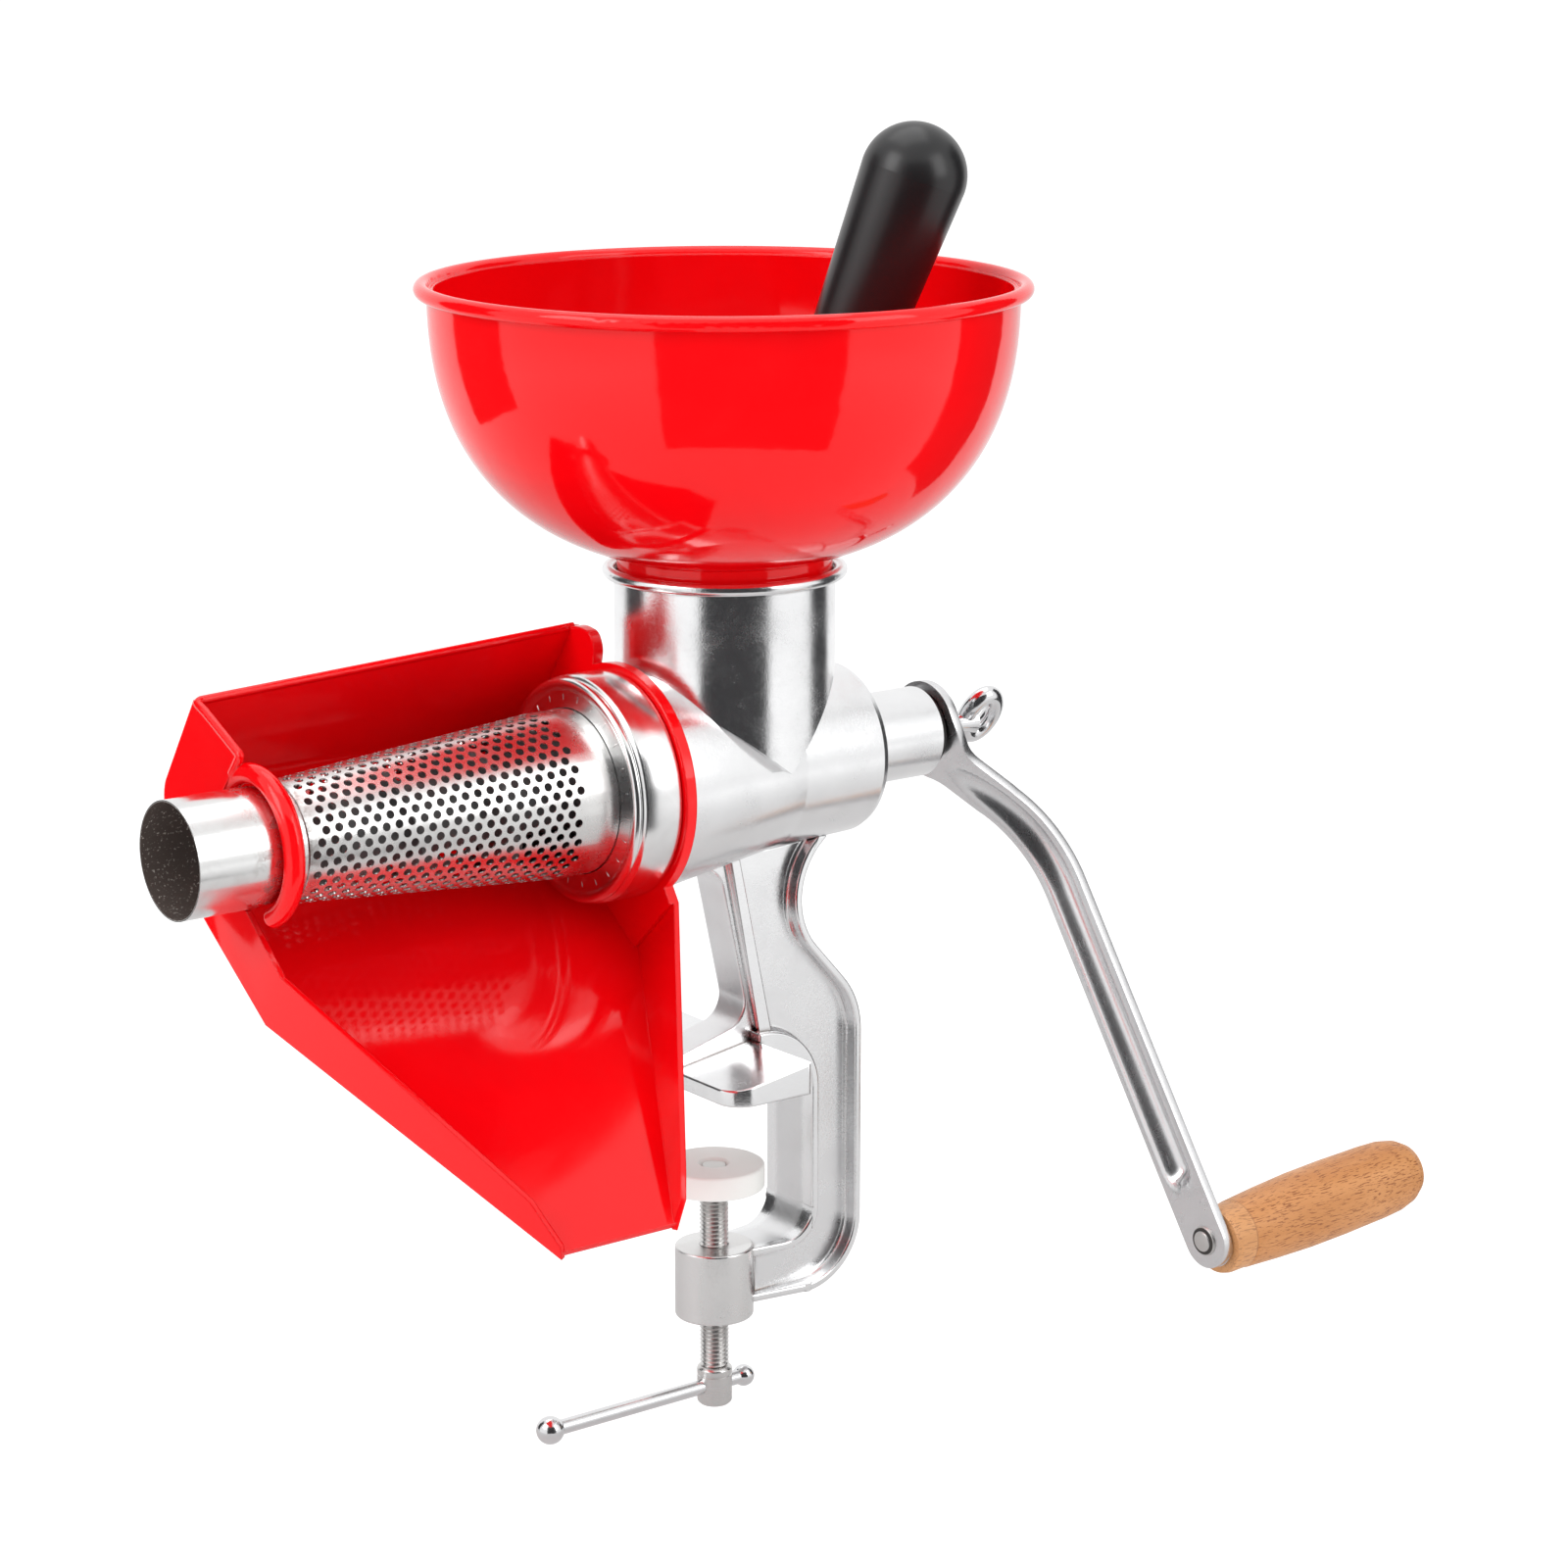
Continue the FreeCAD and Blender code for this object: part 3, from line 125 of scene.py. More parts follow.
def merge_points(threshold=SAME_POINT):
    """Merge the points of the mesh in edit mode that lie nearer than the threshold."""
    pick_all()
    bpy.ops.mesh.remove_doubles(threshold=threshold)


def tidy_normals(obj):
    edit(obj)
    merge_points()
    bpy.ops.mesh.normals_make_consistent(inside=False)
    done()
    return obj


def smooth(obj, limit):
    take(obj)
    bpy.ops.object.shade_smooth_by_angle(angle=radians(limit))
    return obj


def finish_with(obj, kind, **settings):
    """Add a modifier with these settings and apply it."""
    take(obj)
    modifier = obj.modifiers.new(kind.title(), kind)
    for key, value in settings.items():
        setattr(modifier, key, value)
    bpy.ops.object.modifier_apply(modifier=modifier.name)
    return obj


def choose(obj, test, kind="VERT"):
    """Select the vertices, edges or faces that pass the test, in edit mode."""
    bpy.ops.mesh.select_mode(type=kind)
    bpy.ops.mesh.select_all(action="DESELECT")
    mesh = bmesh.from_edit_mesh(obj.data)
    group = {"VERT": mesh.verts, "EDGE": mesh.edges, "FACE": mesh.faces}[kind]
    for item in group:
        if test(item):
            item.select_set(True)
    mesh.select_flush_mode()
    bmesh.update_edit_mesh(obj.data)


def start_line(name, first):
    """An object in edit mode with one selected vertex at first."""
    obj = primitive(name, "plane", size=MM, location=first)
    edit(obj)
    pick_all()
    bpy.ops.mesh.merge(type="CENTER")
    return obj


def draw_line(points):
    """Extrude the selected vertex through the points after the first."""
    for a, b in zip(points, points[1:]):
        bpy.ops.mesh.extrude_region_move(TRANSFORM_OT_translate={"value": b - a})


def round_corners(obj, corners):
    """Bevel the vertices nearest to the given places: (place, radius, segments)."""
    for at, radius, segments in corners:
        choose(obj, lambda v: (v.co - at).length < SAME_POINT)
        bpy.ops.mesh.bevel(offset=radius, offset_type="OFFSET", segments=segments, affect="VERTICES")


def turned(name, profile, axis, centre, steps, rounds=(), closed=True):
    """Spin a closed or axis-to-axis profile of points about an axis through centre.

    rounds gives (index of a profile point, radius in millimetres).
    """
    obj = start_line(name, profile[0])
    draw_line(profile + profile[:1] if closed else profile)
    round_corners(obj, [(profile[i], radius * MM, 4) for i, radius in rounds])
    pick_all()
    bpy.ops.mesh.spin(steps=steps, angle=FULL_TURN, center=centre, axis=axis)
    done()
    return tidy_normals(obj)


def along_x(name, points, rounds=(), steps=128, closed=True):
    """Spin (along X, radius) millimetre pairs about the barrel's axis."""
    return turned(name, [place(x, 0, r) for x, r in points], (1, 0, 0), AXIS, steps, rounds, closed)


def along_screw(name, points, rounds=(), steps=64, closed=True):
    """Spin (radius, height) millimetre pairs about the clamp screw's axis."""
    profile = [place(SCREW_X_MM + r, 0, z) for r, z in points]
    return turned(name, profile, (0, 0, 1), place(SCREW_X_MM, 0, 0), steps, rounds, closed)


# ---- nodes

COLOURS = {         # linear red, green and blue
    "cast": (0.90, 0.902, 0.908), "cast_worn": (0.85, 0.853, 0.86), "cast_web": (0.82, 0.823, 0.83),
    "cast_boss": (0.80, 0.795, 0.79), "cast_crease_shade": (0.34, 0.31, 0.30),
    "sheet": (0.74, 0.735, 0.725), "sheet_stain": (0.34, 0.31, 0.29),
    "tube": (0.82, 0.82, 0.815), "tube_worn": (0.72, 0.715, 0.705), "tube_stain": (0.48, 0.455, 0.43),
    "tube_inside": (0.105, 0.08, 0.07), "tube_speck": (0.62, 0.57, 0.52),
    "beech": (0.68, 0.325, 0.128), "beech_dark": (0.52, 0.215, 0.068), "beech_ring": (0.50, 0.20, 0.06),
    "beech_fleck": (0.27, 0.09, 0.028), "beech_collar_highlight": (0.88, 0.56, 0.30), "beech_step_shade": (0.34, 0.15, 0.06),
    "zinc": (0.78, 0.78, 0.79), "chrome": (0.8, 0.8, 0.81), "dull_steel": (0.66, 0.645, 0.63),
    "screw_steel": (0.70, 0.69, 0.68), "black_flow": (0.012, 0.012, 0.013),
    "nylon": (0.82, 0.82, 0.8), "nylon_flow": (0.74, 0.74, 0.71),
    "rubber": (0.035, 0.028, 0.026), "rubber_flow": (0.02, 0.018, 0.018),
    "grey": (0.13, 0.13, 0.13), "grey_flow": (0.09, 0.09, 0.09),
    "card": (0.03, 0.03, 0.032), "floor": (0.40, 0.40, 0.40), "white": (1.0, 1.0, 1.0)}


def rgb(name):
    return COLOURS[name] + (1,)


def darker(colour, share):
    return tuple(c * share for c in colour[:3]) + (1,)


def empty_tree(owner):
    """The cleared node tree of a material or world."""
    owner.use_nodes = True
    owner.node_tree.nodes.clear()
    return owner.node_tree


def feed(node, **values):
    """Feed inputs, by name or number, from sockets, plain values or names of colours."""
    for key, value in values.items():
        socket = node.inputs[int(key) if key.isdigit() else key.replace("_", " ")]
        if isinstance(value, bpy.types.NodeSocket):
            node.id_data.links.new(value, socket)
        elif value is not None:
            socket.default_value = rgb(value) if isinstance(value, str) else value


def add(tree, kind, **settings):
    """A node, with its properties by name and its inputs by "in_" and the socket's name or number."""
    node = tree.nodes.new(kind if kind.startswith("NodeGroup") else "ShaderNode" + kind)
    for key, value in settings.items():
        if key.startswith("in_"):
            feed(node, **{key[3:]: value})
        else:
            setattr(node, key, value)
    return node


def tree_of(*values):
    """The node tree of the first socket among the values."""
    return next(value.id_data for value in values if isinstance(value, bpy.types.NodeSocket))


def maths(operation, a, b=None):
    """A Math node fed by sockets or numbers; returns its output."""
    return add(tree_of(a, b), "Math", operation=operation, in_0=a, in_1=b).outputs[0]


def times(a, b):
    return maths("MULTIPLY", a, b)


def plus(base, *masks):
    """The base and, on top of it, each (mask, amount) multiplied."""
    for mask, amount in masks:
        base = maths("ADD", base, times(mask, amount))
    return base


def hypotenuse(a, b):
    return maths("SQRT", maths("ADD", times(a, a), times(b, b)))


def span(value, low, high, to_low=0.0, to_high=1.0):
    """Map Range from low..high to to_low..to_high, clamped."""
    return add(value.id_data, "MapRange", clamp=True, in_Value=value, in_From_Min=low, in_From_Max=high,
               in_To_Min=to_low, in_To_Max=to_high).outputs["Result"]


def within(value, ends):
    """A mask between two soft ends."""
    return times(span(value, *ends[0]), span(value, *ends[1]))


def blend_colours(factor, a, b):
    return add(factor.id_data, "Mix", data_type="RGBA", in_0=factor, in_6=a, in_7=b).outputs[2]


def noise(vector, scale, detail=2.0, roughness=0.5, distortion=0.0):
    return add(vector.id_data, "TexNoise", in_Vector=vector, in_Scale=scale, in_Detail=detail,
               in_Roughness=roughness, in_Distortion=distortion).outputs["Fac"]


def parts_of(vector):
    return add(vector.id_data, "SeparateXYZ", in_0=vector).outputs


# ---- node groups

def new_group(name, **inputs):
    """A group and its input sockets: numbers, or a vector where None is given."""
    group = bpy.data.node_groups.new(name, "ShaderNodeTree")
    for label, value in inputs.items():
        kind = "NodeSocketVector" if value is None else "NodeSocketFloat"
        socket = group.interface.new_socket(name=label, in_out="INPUT", socket_type=kind)
        if value is not None:
            socket.default_value = value
    return group, add(group, "NodeGroupInput").outputs


def give_out(group, **values):
    """Make the group's number outputs from these sockets."""
    for label in values:
        group.interface.new_socket(name=label, in_out="OUTPUT", socket_type="NodeSocketFloat")
    feed(add(group, "NodeGroupOutput"), **values)
    return group


def grain_group():
    """Fine cast or tumbled grain: a height, and a slow change of finish."""
    group, given = new_group("tumbled_grain", Vector=None, Fine=900.0, Slow=45.0)
    fine = noise(given["Vector"], given["Fine"], 3.0, 0.6)
    slow = noise(given["Vector"], given["Slow"], 4.0, 0.62)
    return give_out(group, Height=plus(fine, (slow, 0.6)), Patches=span(slow, 0.36, 0.66))


def lathe_group():
    """Fine tool marks that run round an axis: Along and Radius carry the pattern."""
    group, given = new_group("lathe_marks", Along=0.0, Radius=0.0, Scale=1500.0)
    both = maths("ADD", given["Along"], given["Radius"])
    fine = add(group, "TexNoise", noise_dimensions="1D", in_W=both, in_Scale=given["Scale"], in_Detail=4.0,
               in_Roughness=0.7)
    slow = add(group, "TexNoise", noise_dimensions="1D", in_W=both, in_Scale=260.0, in_Detail=2.0)
    return give_out(group, Height=fine.outputs["Fac"], Bands=span(slow.outputs["Fac"], 0.35, 0.65))


def smudge_group():
    """Faint handling marks and fine scratches: masks from 0 to 1."""
    group, given = new_group("handling_marks", Vector=None, Scale=60.0)
    cloud = noise(given["Vector"], given["Scale"], 5.0, 0.65, 0.4)
    stretch = add(group, "Mapping", in_Vector=given["Vector"], in_Scale=(14.0, 1.0, 1.0),
                  in_Rotation=(0.5, 0.35, 0.8))
    lines = noise(stretch.outputs["Vector"], 130.0, 1.0)
    return give_out(group, Smudge=span(cloud, 0.45, 0.7), Scratch=span(lines, 0.68, 0.74))


def wood_group():
    """Beech: slow colour change across the grain and short dark flecks along it."""
    group, given = new_group("beech_grain", Vector=None)
    wander = add(group, "TexNoise", in_Vector=given["Vector"], in_Scale=28.0, in_Detail=2.0)
    bent = add(group, "VectorMath", operation="MULTIPLY_ADD", in_0=wander.outputs["Color"],
               in_1=(0.004, 0.004, 0.004), in_2=given["Vector"])

    def grain(along, across, *settings):
        stretch = add(group, "Mapping", in_Vector=bent.outputs["Vector"], in_Scale=(along, across, across))
        return noise(stretch.outputs["Vector"], 1.0, *settings)

    return give_out(group, Tone=span(grain(14.0, 75.0, 4.0, 0.6), 0.3, 0.7),
                    Flecks=span(grain(250.0, 2300.0, 2.0, 0.55), 0.55, 0.63),
                    Rings=span(grain(16.0, 420.0, 3.0, 0.5, 0.6), 0.3, 0.7))


GROUP_MAKERS = {"tumbled_grain": grain_group, "lathe_marks": lathe_group,
                "handling_marks": smudge_group, "beech_grain": wood_group}


def shared(name, **values):
    """Place a shared node group, made on first use, with its own values; returns its outputs."""
    node = tree_of(*values.values()).nodes.new("ShaderNodeGroup")
    node.node_tree = bpy.data.node_groups.get(name) or GROUP_MAKERS[name]()
    feed(node, **values)
    return node.outputs


# ---- materials

WEB_HEIGHTS = (-0.034, -0.042)      # the clamp's grainy web fades in between these heights
WEB_SIDES = (0.0085, 0.006)         # and these distances from the middle plane
BOSS_EDGE = (0.0140, 0.0136)        # radius and height where the screw boss's machined face starts
BOSS_FACE = (-0.164, -0.166)
SHEET_WELD = ((-0.166, -0.1715), (-0.182, -0.177))              # ends of the weld stains, along X
TUBE_WELD = ((-0.1915, -0.184), (-0.170, -0.1815, 0.4, 1.0))
TUBE_BORE = (0.01845, 0.0182)
COLLAR_END_X = 0.1395               # where the grip's short collar ends


def new_material(name, **values):
    """A material with a Principled BSDF: returns (material, shader, place about the barrel's axis)."""
    material = bpy.data.materials.new(name)
    tree = empty_tree(material)
    shader = add(tree, "BsdfPrincipled")
    feed(shader, **values)
    add(tree, "OutputMaterial", in_Surface=shader.outputs["BSDF"])
    spot = add(tree, "TexCoord").outputs["Object"]
    centre = add(tree, "Mapping", in_Vector=spot, in_Location=(-AXIS.x, -AXIS.y, -AXIS.z))
    return material, shader, centre.outputs["Vector"]


def bump(shader, height, strength, distance, under=None):
    node = add(shader.id_data, "Bump", in_Height=height, in_Strength=strength, in_Distance=distance,
               in_Normal=under)
    feed(shader, Normal=node.outputs["Normal"])


def cast_material():
    """Tumbled cast aluminium: polished on the barrel and chute, grainy on the clamp's web."""
    material, shader, vector = new_material("cast_aluminium", Metallic=1.0)
    grain = shared("tumbled_grain", Vector=vector, Fine=1400.0, Slow=38.0)
    coarse = shared("tumbled_grain", Vector=vector, Fine=650.0, Slow=90.0)
    marks = shared("handling_marks", Vector=vector, Scale=75.0)
    x, y, z = parts_of(vector)
    web = times(span(z, *WEB_HEIGHTS), span(maths("ABSOLUTE", y), *WEB_SIDES))
    hairs = span(noise(vector, 420.0, 3.0, 0.7, 2.2), 0.5, 0.62)
    rough = plus(0.15, (grain["Patches"], 0.07), (marks["Smudge"], 0.06), (hairs, 0.05), (web, 0.2))
    clean = blend_colours(grain["Patches"], "cast", "cast_worn")
    webbed = blend_colours(web, clean, "cast_web")
    from_screw = hypotenuse(maths("SUBTRACT", x, SCREW_X_MM * MM), y)
    boss = times(span(from_screw, *BOSS_EDGE), span(z, *BOSS_FACE))
    bossed = blend_colours(boss, webbed, "cast_boss")
    # Painted shade: the colour darkens towards a dark grey in corners and creases that ambient occlusion
    # finds.
    corner = add(shader.id_data, "AmbientOcclusion", samples=6, only_local=True, in_Distance=0.0015)
    colour = blend_colours(span(corner.outputs["AO"], 0.5, 0.93), "cast_crease_shade", bossed)
    feed(shader, Base_Color=colour, Roughness=rough)
    height = plus(grain["Height"], (times(coarse["Height"], web), 3.0), (hairs, 0.08))
    bump(shader, height, 0.22, 0.00012)
    return material


def turned_material(name, colour, rough, marks, spread=0.08, axis="X", centre=(0, 0, 0)):
    """Bright turned metal with fine tool marks round the axis."""
    material, shader, vector = new_material(name, Metallic=1.0)
    moved = add(vector.id_data, "Mapping", in_Vector=vector, in_Location=tuple(-c for c in centre))
    x, y, z = parts_of(moved.outputs["Vector"])
    along, a, b = {"X": (x, y, z), "Z": (z, x, y)}[axis]
    lathe = shared("lathe_marks", Along=along, Radius=hypotenuse(a, b), Scale=1700.0)
    smudge = shared("handling_marks", Vector=vector, Scale=55.0)["Smudge"]
    feed(shader, Base_Color=blend_colours(smudge, colour, darker(colour, 0.9)),
         Roughness=plus(rough, (lathe["Bands"], spread), (smudge, spread)))
    bump(shader, lathe["Height"], marks, 0.00006)
    return material


def screen_material():
    """Bright rolled steel sheet with faint dents, and heat stains by the weld at the tip."""
    material, shader, vector = new_material("screen_sheet", Metallic=1.0)
    smudge = shared("handling_marks", Vector=vector, Scale=70.0)["Smudge"]
    cloud = span(noise(vector, 260.0, 5.0, 0.7), 0.44, 0.62)
    stain = times(within(parts_of(vector)[0], SHEET_WELD), cloud)
    feed(shader, Base_Color=blend_colours(stain, "sheet", "sheet_stain"),
         Roughness=plus(0.25, (smudge, 0.08), (stain, 0.2)))
    bump(shader, noise(vector, 80.0), 0.05, 0.0006)
    return material


def tube_material():
    """Bright drawn tube with weld stains at the screen's end, dull brown and specked inside."""
    material, shader, vector = new_material("outlet_steel", Metallic=1.0)
    smudge = shared("handling_marks", Vector=vector, Scale=60.0)["Smudge"]
    x, y, z = parts_of(vector)
    inside = span(hypotenuse(y, z), *TUBE_BORE)
    specks = span(noise(vector, 1100.0, 3.0, 0.7), 0.6, 0.68)
    dull = blend_colours(specks, "tube_inside", "tube_speck")
    bright = blend_colours(smudge, "tube", "tube_worn")
    cloud = span(noise(vector, 210.0, 6.0, 0.72, 0.5), 0.5, 0.64)
    stain = times(within(x, TUBE_WELD), cloud)
    stained = blend_colours(stain, bright, "tube_stain")
    feed(shader, Base_Color=blend_colours(inside, stained, dull),
         Metallic=maths("SUBTRACT", 1.0, times(inside, 0.85)),
         Roughness=plus(0.17, (smudge, 0.1), (stain, 0.25), (inside, 0.4)))
    bump(shader, noise(vector, 60.0), 0.12, 0.0006)
    return material


def plated_material(name, colour, rough, fine=0.1):
    """Zinc or chrome plate: even, with a slight speckle and handling marks."""
    material, shader, vector = new_material(name, Metallic=1.0)
    grain = shared("tumbled_grain", Vector=vector, Fine=2200.0, Slow=120.0)
    hand = shared("handling_marks", Vector=vector, Scale=90.0)
    feed(shader, Base_Color=blend_colours(grain["Patches"], colour, darker(colour, 0.95)),
         Roughness=plus(rough, (hand["Smudge"], 0.04), (hand["Scratch"], 0.08)))
    bump(shader, grain["Height"], fine, 0.00008)
    return material


def plastic_material(name, colour, dark, rough, ripple=0.06, rim=0.0, **values):
    """Moulded plastic: a faint flow of tone, slow ripples and a fine skin."""
    material, shader, vector = new_material(name, **values)
    flow = span(noise(vector, 18.0, 3.0, 0.5, 0.8), 0.3, 0.7)
    smudge = shared("handling_marks", Vector=vector, Scale=50.0)["Smudge"]
    feed(shader, Base_Color=blend_colours(flow, colour, dark),
         Roughness=plus(rough, (smudge, 0.04)))
    soft = add(shader.id_data, "Bevel", samples=6, in_Radius=rim * MM).outputs["Normal"] if rim else None
    bump(shader, noise(vector, 26.0, 1.0), ripple, 0.0012, soft)
    return material


def beech_material():
    """Waxed beech turned on a lathe, its grain along the grip."""
    material, shader, vector = new_material("waxed_beech", Specular_IOR_Level=0.4)
    grain = shared("beech_grain", Vector=vector)
    tone = blend_colours(grain["Tone"], "beech", "beech_dark")
    ringed = blend_colours(times(grain["Rings"], 0.35), tone, "beech_ring")
    flecked = blend_colours(times(grain["Flecks"], 0.95), ringed, "beech_fleck")
    x = parts_of(vector)[0]
    # Painted highlight and shade: the grip's short collar is painted a little lighter, and a thin dark line
    # is painted where its step is.
    collar_highlight = span(x, COLLAR_END_X - 2e-4, COLLAR_END_X + 2e-4, 0.16, 0.0)
    collar = blend_colours(collar_highlight, flecked, "beech_collar_highlight")
    to_line = maths("ABSOLUTE", maths("SUBTRACT", x, COLLAR_END_X))
    step_shade = span(to_line, 1.5e-4, 4e-4, 0.55, 0.0)
    feed(shader, Base_Color=blend_colours(step_shade, collar, "beech_step_shade"),
         Roughness=span(grain["Tone"], 0.0, 1.0, 0.38, 0.5))
    bump(shader, maths("SUBTRACT", grain["Rings"], grain["Flecks"]), 0.18, 0.00012)
    return material


def paint(obj, material):
    """Give every face of a CAD node this material."""
    slots = obj.material_slots
    if not slots:
        obj.data.materials.append(material)
        return
    for slot in slots:
        slot.link = "OBJECT"
        slot.material = material


def one_material(obj, name):
    """Give every face of a new piece this material, in place of any it has."""
    obj.data.materials.clear()
    obj.data.materials.append(bpy.data.materials[name])
    for face in obj.data.polygons:
        face.material_index = 0
    obj.material_slots[0].link = "DATA"


# ---- sizes and colours a user may change

def colour_property(name, description, default):
    return bpy.props.FloatVectorProperty(name=name, description=description, default=default,
                                         subtype="COLOR", size=4, min=0, max=1)


def length_property(name, description, default, low, high):
    return bpy.props.FloatProperty(name=name, description=description, default=default, min=low, max=high,
                                   unit="LENGTH")


class StrainerFinish(bpy.types.PropertyGroup):
    """Colours of the strainer's finishes."""
    red: colour_property("Red plastic", "Colour of the hopper and tray", (0.93, 0.0012, 0.004, 1))
    black: colour_property("Black plastic", "Colour of the pestle", (0.005, 0.005, 0.006, 1))
    steel: colour_property("Bright steel", "Colour of the turned ring nut", (0.89, 0.89, 0.89, 1))
    polish: bpy.props.FloatProperty(
        name="Polish", description="Roughness that the ring nut's is based on", default=0.13, min=0, max=1,
        subtype="FACTOR")


class StrainerSizes(bpy.types.PropertyGroup):
    """Sizes of the strainer's fine detail."""
    hole: length_property("Screen hole", "Diameter of the screen's holes", 0.0028, 0.0005, 0.0035)
    pitch: length_property("Hole pitch", "Distance between holes along a row", 0.00445, 0.003, 0.008)
    thread: length_property("Thread pitch", "Pitch of the clamp screw", 0.0015, 0.001, 0.003)


# ---- stage

def lamp(name, at, aim, size, power):
    """A soft rectangular lamp that points at aim."""
    data = bpy.data.lights.new(name, "AREA")
    data.shape = "RECTANGLE"
    data.size, data.size_y = size
    data.energy = power
    obj = bpy.data.objects.new(name, data)
    obj.location = at
    obj.rotation_euler = (Vector(aim) - Vector(at)).to_track_quat("-Z", "Y").to_euler()
    bpy.context.collection.objects.link(obj)


FLOOR_Z = -0.165
FLOOR_HALF = 30.0
FLOOR_MIRRORED = (0.25, 1.3, 0.2, 0.62)     # glow in metal, dimmer near the object as a painted shadow: near and far reach, and strength at each
FLOOR_SEEN = 0.76
FLOOR_BOUNCED = 0.8
WORLD_LIGHT = 0.86
WORLD_SEEN = 0.14
CARD_TOP = 0.95
CARDS = (       # name, turns and distance
    ("card_front", (-24, 47), 0.95), ("card_right", (99, 131), 0.9), ("card_left", (-122, -90), 0.9))
FLOOR_CARDS = (("floor_card_front", (-24, 47), 0.45, 0.95), ("floor_card_right", (99, 131), 0.45, 0.9))
CARD_LIFT = 0.002

def floor_material():
    """Pale floor: white to the eye and to metal, still darkened by the object's shadow; in metal its glow
    fades near the object, a painted shadow.
    """
    material = bpy.data.materials.new("pale_floor")
    tree = empty_tree(material)
    path = add(tree, "LightPath").outputs
    spot = add(tree, "TexCoord").outputs["Object"]
    reach = add(tree, "VectorMath", operation="LENGTH", in_0=spot).outputs["Value"]
    # Painted shadow: what metal sees of the floor glows less near the object, standing for the object's
    # shadow.
    mirrored = times(path["Is Glossy Ray"], span(reach, *FLOOR_MIRRORED))
    seen = maths("MAXIMUM", path["Is Camera Ray"], path["Is Transmission Ray"])
    lifted = maths("MAXIMUM", times(seen, FLOOR_SEEN), mirrored)
    bounced = times(path["Is Diffuse Ray"], FLOOR_BOUNCED)
    glow = add(tree, "Emission", in_Color="white", in_Strength=maths("MAXIMUM", lifted, bounced))
    matt = add(tree, "BsdfDiffuse", in_Color="floor")
    both = add(tree, "AddShader", in_0=matt.outputs[0], in_1=glow.outputs[0])
    add(tree, "OutputMaterial", in_Surface=both.outputs[0])
    return material


def studio_world():
    world = bpy.data.worlds.new("studio")
    bpy.context.scene.world = world
    tree = empty_tree(world)
    path = add(tree, "LightPath").outputs
    seen = maths("MAXIMUM", path["Is Camera Ray"], path["Is Glossy Ray"])
    seen = maths("MAXIMUM", seen, path["Is Transmission Ray"])
    glow = add(tree, "Background", in_Color="white", in_Strength=plus(WORLD_LIGHT, (seen, WORLD_SEEN)))
    add(tree, "OutputWorld", in_Surface=glow.outputs[0])


def dark_card_material():
    material = bpy.data.materials.new("dark_card")
    material.use_nodes = True
    feed(material.node_tree.nodes["Principled BSDF"], Base_Color="card", Roughness=1.0)
    return material


def dark_card(name, corners, material):
    """A dark studio card that only reflections see, to give bright metal its contrast."""
    card = start_line(name, corners[0])
    draw_line(list(corners) + [corners[0]])
    merge_points()
    bpy.ops.mesh.edge_face_add()
    done()
    card.visible_camera = card.visible_diffuse = card.visible_shadow = False
    card.data.materials.append(material)


def upright(turns, distance, low, high):
    """Corners of a card that stands between two turns."""
    first, last = turns
    return [around(t, distance, z) for t, z in ((first, low), (last, low), (last, high), (first, high))]


def lying(turns, near, far, height):
    """Corners of a card that lies on the floor between two turns."""
    first, last = turns
    steps = [first + (last - first) * i / 6 for i in range(7)]
    return [around(t, near, height) for t in steps] + [around(t, far, height) for t in reversed(steps)]


def around(turn, distance, height):
    """A place round the object: turn in degrees from the camera's side, positive to its right."""
    back = Vector(CAMERA_BACK[:2]).normalized()
    angle = atan2(back.y, back.x) + radians(turn)
    return Vector((cos(angle) * distance, sin(angle) * distance, height))


class STRAINER_OT_stage(bpy.types.Operator):
    """Floor, world, lamps, cards and camera"""
    bl_idname = "strainer.stage"
    bl_label = "Stage"

    def execute(self, context):
        floor = primitive("floor", "plane", size=2 * FLOOR_HALF, location=(0, 0, FLOOR_Z))
        floor.data.materials.append(floor_material())
        studio_world()
        lamp("key_softbox", around(-55, 1.5, 1.15), (0, 0, 0.08), (0.9, 1.1), 10.5)
        lamp("fill_softbox", around(60, 1.6, 0.9), (0, 0, 0.08), (0.8, 1.2), 6.5)
        lamp("top_softbox", (0.1, 0.3, 1.7), (0, 0, 0.1), (1.3, 1.3), 7)
        dark = dark_card_material()
        for name, turns, distance in CARDS:
            dark_card(name, upright(turns, distance, FLOOR_Z, FLOOR_Z + CARD_TOP), dark)
        for name, turns, near, far in FLOOR_CARDS:
            dark_card(name, lying(turns, near, far, FLOOR_Z + CARD_LIFT), dark)
        scene = context.scene
        scene.view_settings.view_transform = "Standard"
        data = bpy.data.cameras.new("camera")
        data.lens, data.sensor_width, data.sensor_fit = CAMERA_LENS, SENSOR, "HORIZONTAL"
        data.clip_start, data.clip_end = 0.05, 100
        camera = bpy.data.objects.new("camera", data)
        context.collection.objects.link(camera)
        camera.location = CAMERA_PLACE
        turn = (-Vector(CAMERA_BACK)).to_track_quat("-Z", "Y")
        camera.rotation_mode = "QUATERNION"
        camera.rotation_quaternion = turn @ Matrix.Rotation(CAMERA_ROLL, 3, "Z").to_quaternion()
        scene.camera = camera
        return {"FINISHED"}


# ---- CAD nodes that keep their shape

